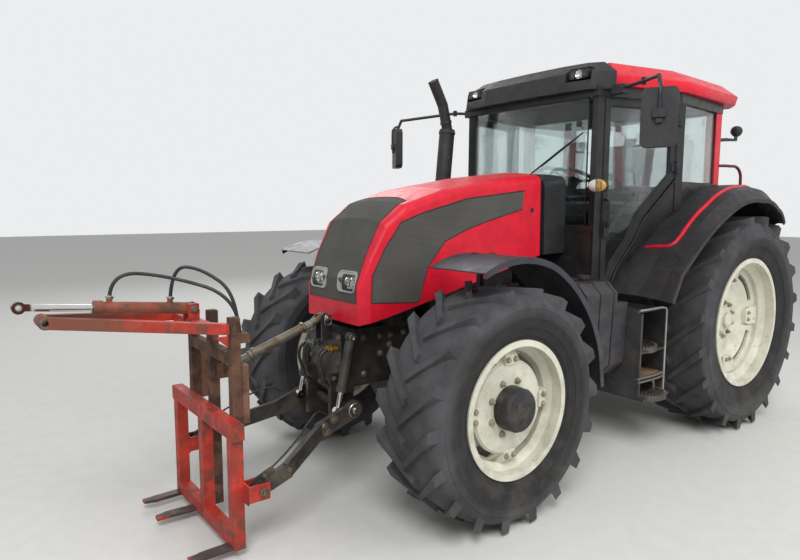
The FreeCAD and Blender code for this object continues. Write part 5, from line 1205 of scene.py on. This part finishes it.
mesh_piece("grab_gland_nut", bm, "stained_steel", "grab_cyl", bevel=0.0012)
up = Vector((-way.z, 0, way.x))
bm = bmesh.new()
for far in (0.110, 0.400):
    spun(bm, barrel + way * far + up * 0.046, up, [(0, 0.0145), (0, 0.0195), (0.012, 0.0195),
            (0.012, 0.011), (0.016, 0.011), (0.016, 0.009)], 6)
mesh_piece("grab_port_nuts", bm, "steel", "grab_cyl", bevel=0.001)
bm = bmesh.new()
for s in (1, -1):
    spun(bm, W(4804, 0, 1289), (0, s, 0), [(0.0200, 0.0131), (0.0240, 0.0131), (0.0240, 0.0165),
                                           (0.0222, 0.0185), (0.0200, 0.0185)], 28)
mesh_piece("grab_eye_bush", bm, "fork_steel", "grab_rod")
bm = bmesh.new()
for s in (1, -1):
    spun(bm, W(4710, s * 65, 1214), (0, s, 0), [(-0.004, 0.0142), (0.0032, 0.0142), (0.0032, 0.024),
            (0.0015, 0.0275), (-0.004, 0.0275)], 28)
mesh_piece("arm_tip_bush", bm, "stained_steel", "lift_frame")

# exhaust, fenders, rear
CAN = line(1, (1735, -640, 1330), (1735, -640, 1700), (1668, -640, 2370), (1720, -640, 2560),
           (1822, -640, 2735))
bm = bmesh.new()
for p, q, shares, r in ((CAN[0], CAN[1], (0.35, 0.93), 0.042), (CAN[1], CAN[2], (0.035, 0.965), 0.062),
                        (CAN[2], CAN[3], (0.30,), 0.042)):
    for share in shares:
        c = p.lerp(q, share)
        spun(bm, c - (q - p).normalized() * 0.011, q - p, [(0, r - 0.002), (0, r + 0.004),
                (0.004, r + 0.0055), (0.018, r + 0.0055), (0.022, r + 0.004), (0.022, r - 0.002)], 40)
mesh_piece("exhaust_clamps", bm, "dark_metal")
bolts("exhaust_clamp_bolts", [(CAN[0].lerp(CAN[1], 0.35) + Vector((0, 0.046, 0)), (0, 1, 0)),
                              (CAN[1].lerp(CAN[2], 0.035) + Vector((0, 0.066, 0)), (0, 1, 0)),
                              (CAN[1].lerp(CAN[2], 0.965) + Vector((0, 0.066, 0)), (0, 1, 0))], 0.007,
                              0.012)
bm = bmesh.new()
tip = (CAN[4] - CAN[3]).normalized()
spun(bm, CAN[4] - tip * 0.004, tip, [(0, 0.0405), (0, 0.0435), (0.006, 0.0440), (0.008, 0.0425),
                                     (0.008, 0.0385), (0.003, 0.0375), (-0.050, 0.036), (-0.051, 0.0)], 40)
mesh_piece("exhaust_lip", bm, "soot")
for s, tag in SIDES:
    spots = []
    for x, y in ((1180, 640), (1180, 720), (300, 640), (-200, 640), (700, 640), (900, 640)):
        h = hit(["rear_fenders"], W(x + 80, s * y, 2300 if x < 1000 else 1500), (-0.2, 0, -1) if x < 1000
                else (-1, 0, -1))
        if h:
            spots.append((h[0], h[1] if h[1].z > 0 else -h[1]))
    bolts("rear_fender_bolts_" + tag, spots, 0.009, 0.006, mat="black_paint")
    spots = []
    for x in (2420, 2560, 2700):
        for y in (735, 765):
            h = hit(["front_fender_" + tag], W(x, s * y, 1900), (0, 0, -1))
            if h:
                spots.append((h[0], h[1] if h[1].z > 0 else -h[1]))
    bolts("front_fender_bolts_" + tag, spots, 0.008, 0.005, body="steer_" + tag[0], mat="black_paint")
    # axle flange bolts
    bolts("axle_flange_bolts_" + tag, [(W(math.cos(a) * 88, s * 619, 845 + math.sin(a) * 88), (0, s, 0))
                                       for a in [k * math.tau / 10 for k in range(10)]], 0.010, 0.009)
    bolts("kingpin_bolts_" + tag, [(W(FRONT_AXLE_X + dx, s * 650 + dy, 772), (0, 0, 1)) for dx in (-40, 40)
                                   for dy in (-48, 30)], 0.010, 0.008)
    bolts("knuckle_bolts_" + tag, [(W(FRONT_AXLE_X + 38 * math.cos(a), s * 708, 665 + 52 * math.sin(a)),
                                    (0, s, 0)) for a in (0.8, 2.34, 3.94, 5.48)], 0.009, 0.008,
                                    body="steer_" + tag[0])
    turned("lower_link_ball_" + tag, "steel", W(-1020, s * 410, 500), (0, s, 0),
           [(0.0200, 0.0146), (0.0200, 0.030), (0.0170, 0.0335), (0.0165, 0.038), (0.0205, 0.0385),
            (0.0225, 0.034), (0.0225, 0.0146)], 36, body="rear_lower")

# headlamp surrounds
# where a ray falls into a joint of the nose, others beside it are tried
BESIDE = ((0, 0), (3, 0), (-3, 0), (0, 3), (0, -3), (7, 0), (-7, 0), (12, 0), (-12, 0))


def nose_loop(cy, cz, w, h, r, lift):
    """A rounded rectangle seen from the front, standing lift metres off the nose, also over its joints."""
    out = []
    for u, v in rounded(w, h, r, 7):
        p = W(BEFORE_NOSE, cy, cz) + Vector((0, u, v))
        tries = (hit(NOSE, p + Vector((0, dy / 1000, dz / 1000)), (-1, 0, 0)) for dy, dz in BESIDE)
        at_nose = next(filter(None, tries))
        out.append(Vector((at_nose[0].x + lift, p.y, p.z)))
    return out


for s, tag in SIDES:
    y, inner = s * 158, s * LAMP_Y
    bm = bmesh.new()
    rings = []
    for cy, cz, w, h, r, lift in ((y, 1306, 0.188, 0.128, 0.034, 0.001),
                                  (y, 1306, 0.186, 0.126, 0.033, 0.006),
                                  (y, 1306, 0.176, 0.116, 0.030, 0.007),
                                  (y, 1306, 0.170, 0.110, 0.028, 0.003),
                                  (inner, 1300, 0.128, 0.098, 0.017, 0.0015),
                                  (inner, 1300, 0.126, 0.096, 0.016, -0.004)):
        rings.append([bm.verts.new(p) for p in nose_loop(cy, cz, w, h, r, lift)])
    skin(bm, rings)
    mesh_piece("headlamp_surround_" + tag, bm, "bezel_grey", "bonnet", sharp=34)
    bm = bmesh.new()
    m = place(W(BOWL_X - 44, inner * 1.02, 1294), (1, 0, 0.10))
    slab(bm, m, rounded(0.082, 0.064, 0.010), -0.002, 0.004)
    for k in range(-3, 4):
        slab(bm, m @ Matrix.Translation((k * 0.0105, 0, 0.004)), rounded(0.005, 0.054, 0.002, 2), -0.001,
             0.0025)
    mesh_piece("headlamp_glow_" + tag, bm, "frosted", "bonnet", bevel=0.001)

# lifting frame: forks, backing tubes, mast hole plugs
for i, y in enumerate((-380, -130, 380)):
    bm = bmesh.new()
    blade = [(0.0, -0.030), (0.185, -0.030), (0.243, -0.012), (0.247, 0.0), (0.243, 0.012), (0.185, 0.030),
             (0.0, 0.030)]
    slab(bm, tilted(W(3968, y, 53), (2, -3, 1)[i], "Z"), blade, -0.0095, 0.0095)
    mesh_piece("fork_blade_%d" % i, bm, "fork_steel", "lift_frame", bevel=0.003)
for s, tag in SIDES:
    plate("mast_backer_" + tag, "rusty_light", Matrix.Translation(W(3873, s * 290, 0)),
          rounded(0.040, 0.046, 0.004), 0.640, 0.946, body="lift_frame", bevel=0.002)
    bead("mast_backer_weld_" + tag, line(s, (3893, 314, 645), (3893, 314, 940)), r=0.0035)
    # side lamp: an oval with a clear inner and an amber outer half
    m = place(W(1503, s * 688, 1890), (1, s * 0.25, 0))
    out = 1 if (m.to_3x3() @ Vector((1, 0, 0))).y * s > 0 else -1
    plate("side_lamp_case_" + tag, "black_plastic", m, rounded(0.132, 0.092, 0.042, 8), -0.034, 0.003,
          bevel=0.002)
    for half, turn, look in (("clear", -out, "frosted"), ("amber", out, "amber_lens")):
        bm = bmesh.new()
        rows = [[bm.verts.new(m @ Vector((turn * math.cos(t) * 0.063 * math.sin(a),
                                          math.cos(t) * 0.043 * math.cos(a), 0.003 + 0.019 * math.sin(t))))
                 for a in (k * math.pi / 14 for k in range(15))]
                 for t in (i * math.pi / 14 for i in range(7))]
        for lo, hi in zip(rows, rows[1:]):
            for k in range(14):
                bm.faces.new((lo[k], lo[k + 1], hi[k + 1], hi[k]))
        bm.faces.new(rows[-1])
        mesh_piece("side_lamp_%s_%s" % (half, tag), bm, look)
    bm = bmesh.new()
    slab(bm, m, rounded(0.007, 0.089, 0.003), 0.003, 0.0235)
    for k in (-2, -1, 1, 2):
        slab(bm, m @ Matrix.Translation((out * (0.022 + 0.007 * k), 0, 0)),
             rounded(0.0022, 0.062 - 0.004 * abs(k + 1), 0.001), 0.003, 0.0215)
    mesh_piece("side_lamp_ribs_" + tag, bm, "bezel_dull")
turned("frame_plug", "amber_paint", W(3860, 52, 905), (0, 1, 0),
       [(-0.004, 0), (-0.004, 0.013), (0.004, 0.013), (0.006, 0.010), (0.006, 0)], 20, body="lift_frame")

# rails under the step box, hanger of the low tread
for s, tag in SIDES:
    for i, (z, x1) in enumerate(((582, 1340), (556, 1330))):
        pipe("step_sill_%s_%d" % (tag, i), line(s, (x1, 948, z), (1060, 950, z), (1018, 948, z + 6),
                (1004, 930, z + 10)), 0.0085, "bezel_dull", kind="BEZIER")
    pipe("tread_hanger_" + tag, line(s, (1161, 955, 556), (1161, 965, 520), (1161, 955, 480),
                                     (1161, 930, 462)), 0.010, "worn_steel", kind="BEZIER")

# back: window, panel, couplers, shaft guard
PANE_X, PANEL_X, FACE_X = -40, -60, -330
for y in (-300, 300):
    bm = bmesh.new()
    slab(bm, place(W(PANE_X, y, 2440), (-1, 0, 0)), rounded(0.060, 0.050, 0.010), 0.0, 0.010)
    spun(bm, W(PANE_X - 12, y - 34, 2474), (0, 1, 0), [(0, 0), (0, 0.010), (0.068, 0.010), (0.068, 0)], 20)
    mesh_piece("pane_hinge_%s" % ("left" if y > 0 else "right"), bm, "black_paint", bevel=0.0015)
bm = bmesh.new()
slab(bm, place(W(PANE_X, 0, 1978), (-1, 0, 0)), rounded(0.110, 0.036, 0.010), 0.0, 0.012)
slab(bm, place(W(PANE_X - 12, 20, 1978), (-1, 0, 0)), rounded(0.090, 0.020, 0.009), 0.004, 0.020)
mesh_piece("pane_handle", bm, "black_plastic", bevel=0.003)
turned("rear_wiper_motor", "black_plastic", W(PANE_X, -190, 2466), (-1, 0, 0),
       [(0, 0), (0, 0.030), (0.026, 0.026), (0.032, 0.018), (0.032, 0)], 28)
pipe("rear_wiper_arm", line(1, (PANE_X - 30, -190, 2466), (PANE_X - 30, -170, 2430),
                            (PANE_X - 16, 60, 2190)), 0.005, "black_paint")
pipe("rear_wiper_blade", line(1, (PANE_X - 7, -50, 2306), (PANE_X - 7, 170, 2074)), 0.005, "seal_rubber")
bm = bmesh.new()
slab(bm, place(W(PANEL_X, 0, 1712), (-1, 0, 0)), rounded(0.940, 0.250, 0.030, 5), 0.0, 0.005)
for k in range(7):
    slab(bm, place(W(PANEL_X - 5, -280, 1650 + k * 20), (-1, 0, 0.6)), rounded(0.230, 0.010, 0.004, 3),
         -0.002, 0.007)
for z in (1800, 1622):
    slab(bm, place(W(PANEL_X - 5, 120, z), (-1, 0, 0)), rounded(0.520, 0.014, 0.006, 3), -0.002, 0.006)
mesh_piece("back_panel_cover", bm, "grey_plastic", bevel=0.002)
bolts("back_panel_bolts", [(W(PANEL_X - 5, y, z), (-1, 0, 0)) for y in (-445, -150, 150, 445)
                           for z in (1610, 1815)], 0.009, 0.006)
bm = bmesh.new()
spun(bm, W(PANEL_X - 4, 330, 1712), (-1, 0, 0), [(0, 0), (0, 0.036), (0.006, 0.036), (0.008, 0.030),
        (0.036, 0.029), (0.040, 0.026), (0.040, 0)], 32)
slab(bm, place(W(PANEL_X - 40, 330, 1746), (-1, 0, 0)), rounded(0.040, 0.018, 0.006), -0.012, 0.004)
mesh_piece("trailer_socket", bm, "grey_plastic", bevel=0.001)
bm = bmesh.new()
caps = bmesh.new()
for y in (-200, -148, 148, 200):
    for z in (955, 885):
        spun(bm, W(FACE_X + 1, y, z), (-1, 0, 0), [(0, 0), (0, 0.021), (0.012, 0.021), (0.012, 0.0155),
                (0.022, 0.0155), (0.022, 0.019), (0.040, 0.019), (0.042, 0.0165), (0.042, 0)], 24)
        spun(caps, W(FACE_X - 40, y, z), (-1, 0, 0), [(0, 0), (0, 0.0205), (0.010, 0.0210), (0.014, 0.018),
                (0.016, 0.010), (0.016, 0)], 24)
for s in (1, -1):
    slab(bm, place(W(FACE_X, s * 174, 920), (-1, 0, 0)), rounded(0.112, 0.150, 0.012), -0.001, 0.010)
mesh_piece("rear_couplers", bm, "steel", sharp=30, bevel=0.0)
mesh_piece("rear_coupler_caps", caps, "red_worn", sharp=30)
bm = bmesh.new()
ARCH = [(118, 640), (118, 772), (104, 792), (-104, 792), (-118, 772), (-118, 640), (-112, 640), (-112, 770),
        (-101, 786), (101, 786), (112, 770), (112, 640)]
rows = [[bm.verts.new(W(x, y, z)) for y, z in ARCH] for x in (FACE_X + 1, FACE_X - 112)]
skin(bm, rows)
for row, flip in ((rows[0], True), (rows[1], False)):
    for k in range(5):
        quad = [row[k], row[k + 1], row[10 - k], row[11 - k]]
        bm.faces.new(quad[::-1] if flip else quad)
mesh_piece("shaft_guard", bm, "black_paint", bevel=0.002)
bolts("guard_bolts", [(W(FACE_X - 12, s * 118, z), (0, s, 0)) for s in (1, -1) for z in (670, 745)], 0.009,
      0.007)
bolts("housing_back_bolts", [(W(FACE_X, s * 218, z), (-1, 0, 0)) for s in (1, -1) for z in (560, 640, 720,
        800)] + [(W(FACE_X, s * y, 575), (-1, 0, 0)) for s in (1, -1) for y in (60, 140)], 0.012, 0.010)
for s, tag in SIDES:
    bolts("lift_arm_pins_" + tag, [(W(-200, s * 304, 1010), (0, s, 0))], 0.020, 0.012, body="rear_arms")
    bolts("lift_rod_pins_" + tag, [(W(-550, s * 383, 545), (0, s, 0))], 0.014, 0.010, body="rear_rods")

# back: moulded shell behind the seat
bm = bmesh.new()
slab(bm, back_turn, rounded(0.585, 0.476, 0.050, 6), -0.020, 0.006)
slab(bm, back_turn @ Matrix.Translation((0.02, 0, -0.019)), rounded(0.440, 0.360, 0.060, 6), -0.012, 0.0)
slab(bm, back_turn @ Matrix.Translation((0.10, 0, -0.031)), rounded(0.220, 0.300, 0.030, 5), -0.008, 0.0)
slab(bm, back_turn @ Matrix.Translation((-0.30, 0, -0.004)), rounded(0.100, 0.120, 0.020, 5), -0.012, 0.008)
mesh_piece("seat_shell", bm, "grey_plastic", bevel=0.006, seg=3)

# ground
bm = bmesh.new()
bmesh.ops.create_grid(bm, x_segments=2, y_segments=2, size=40)
me = bpy.data.meshes.new("floor")
bm.to_mesh(me)
bm.free()
floor = bpy.data.objects.new("floor", me)
bpy.context.collection.objects.link(floor)
floor.data.materials.append(MAT["floor"])
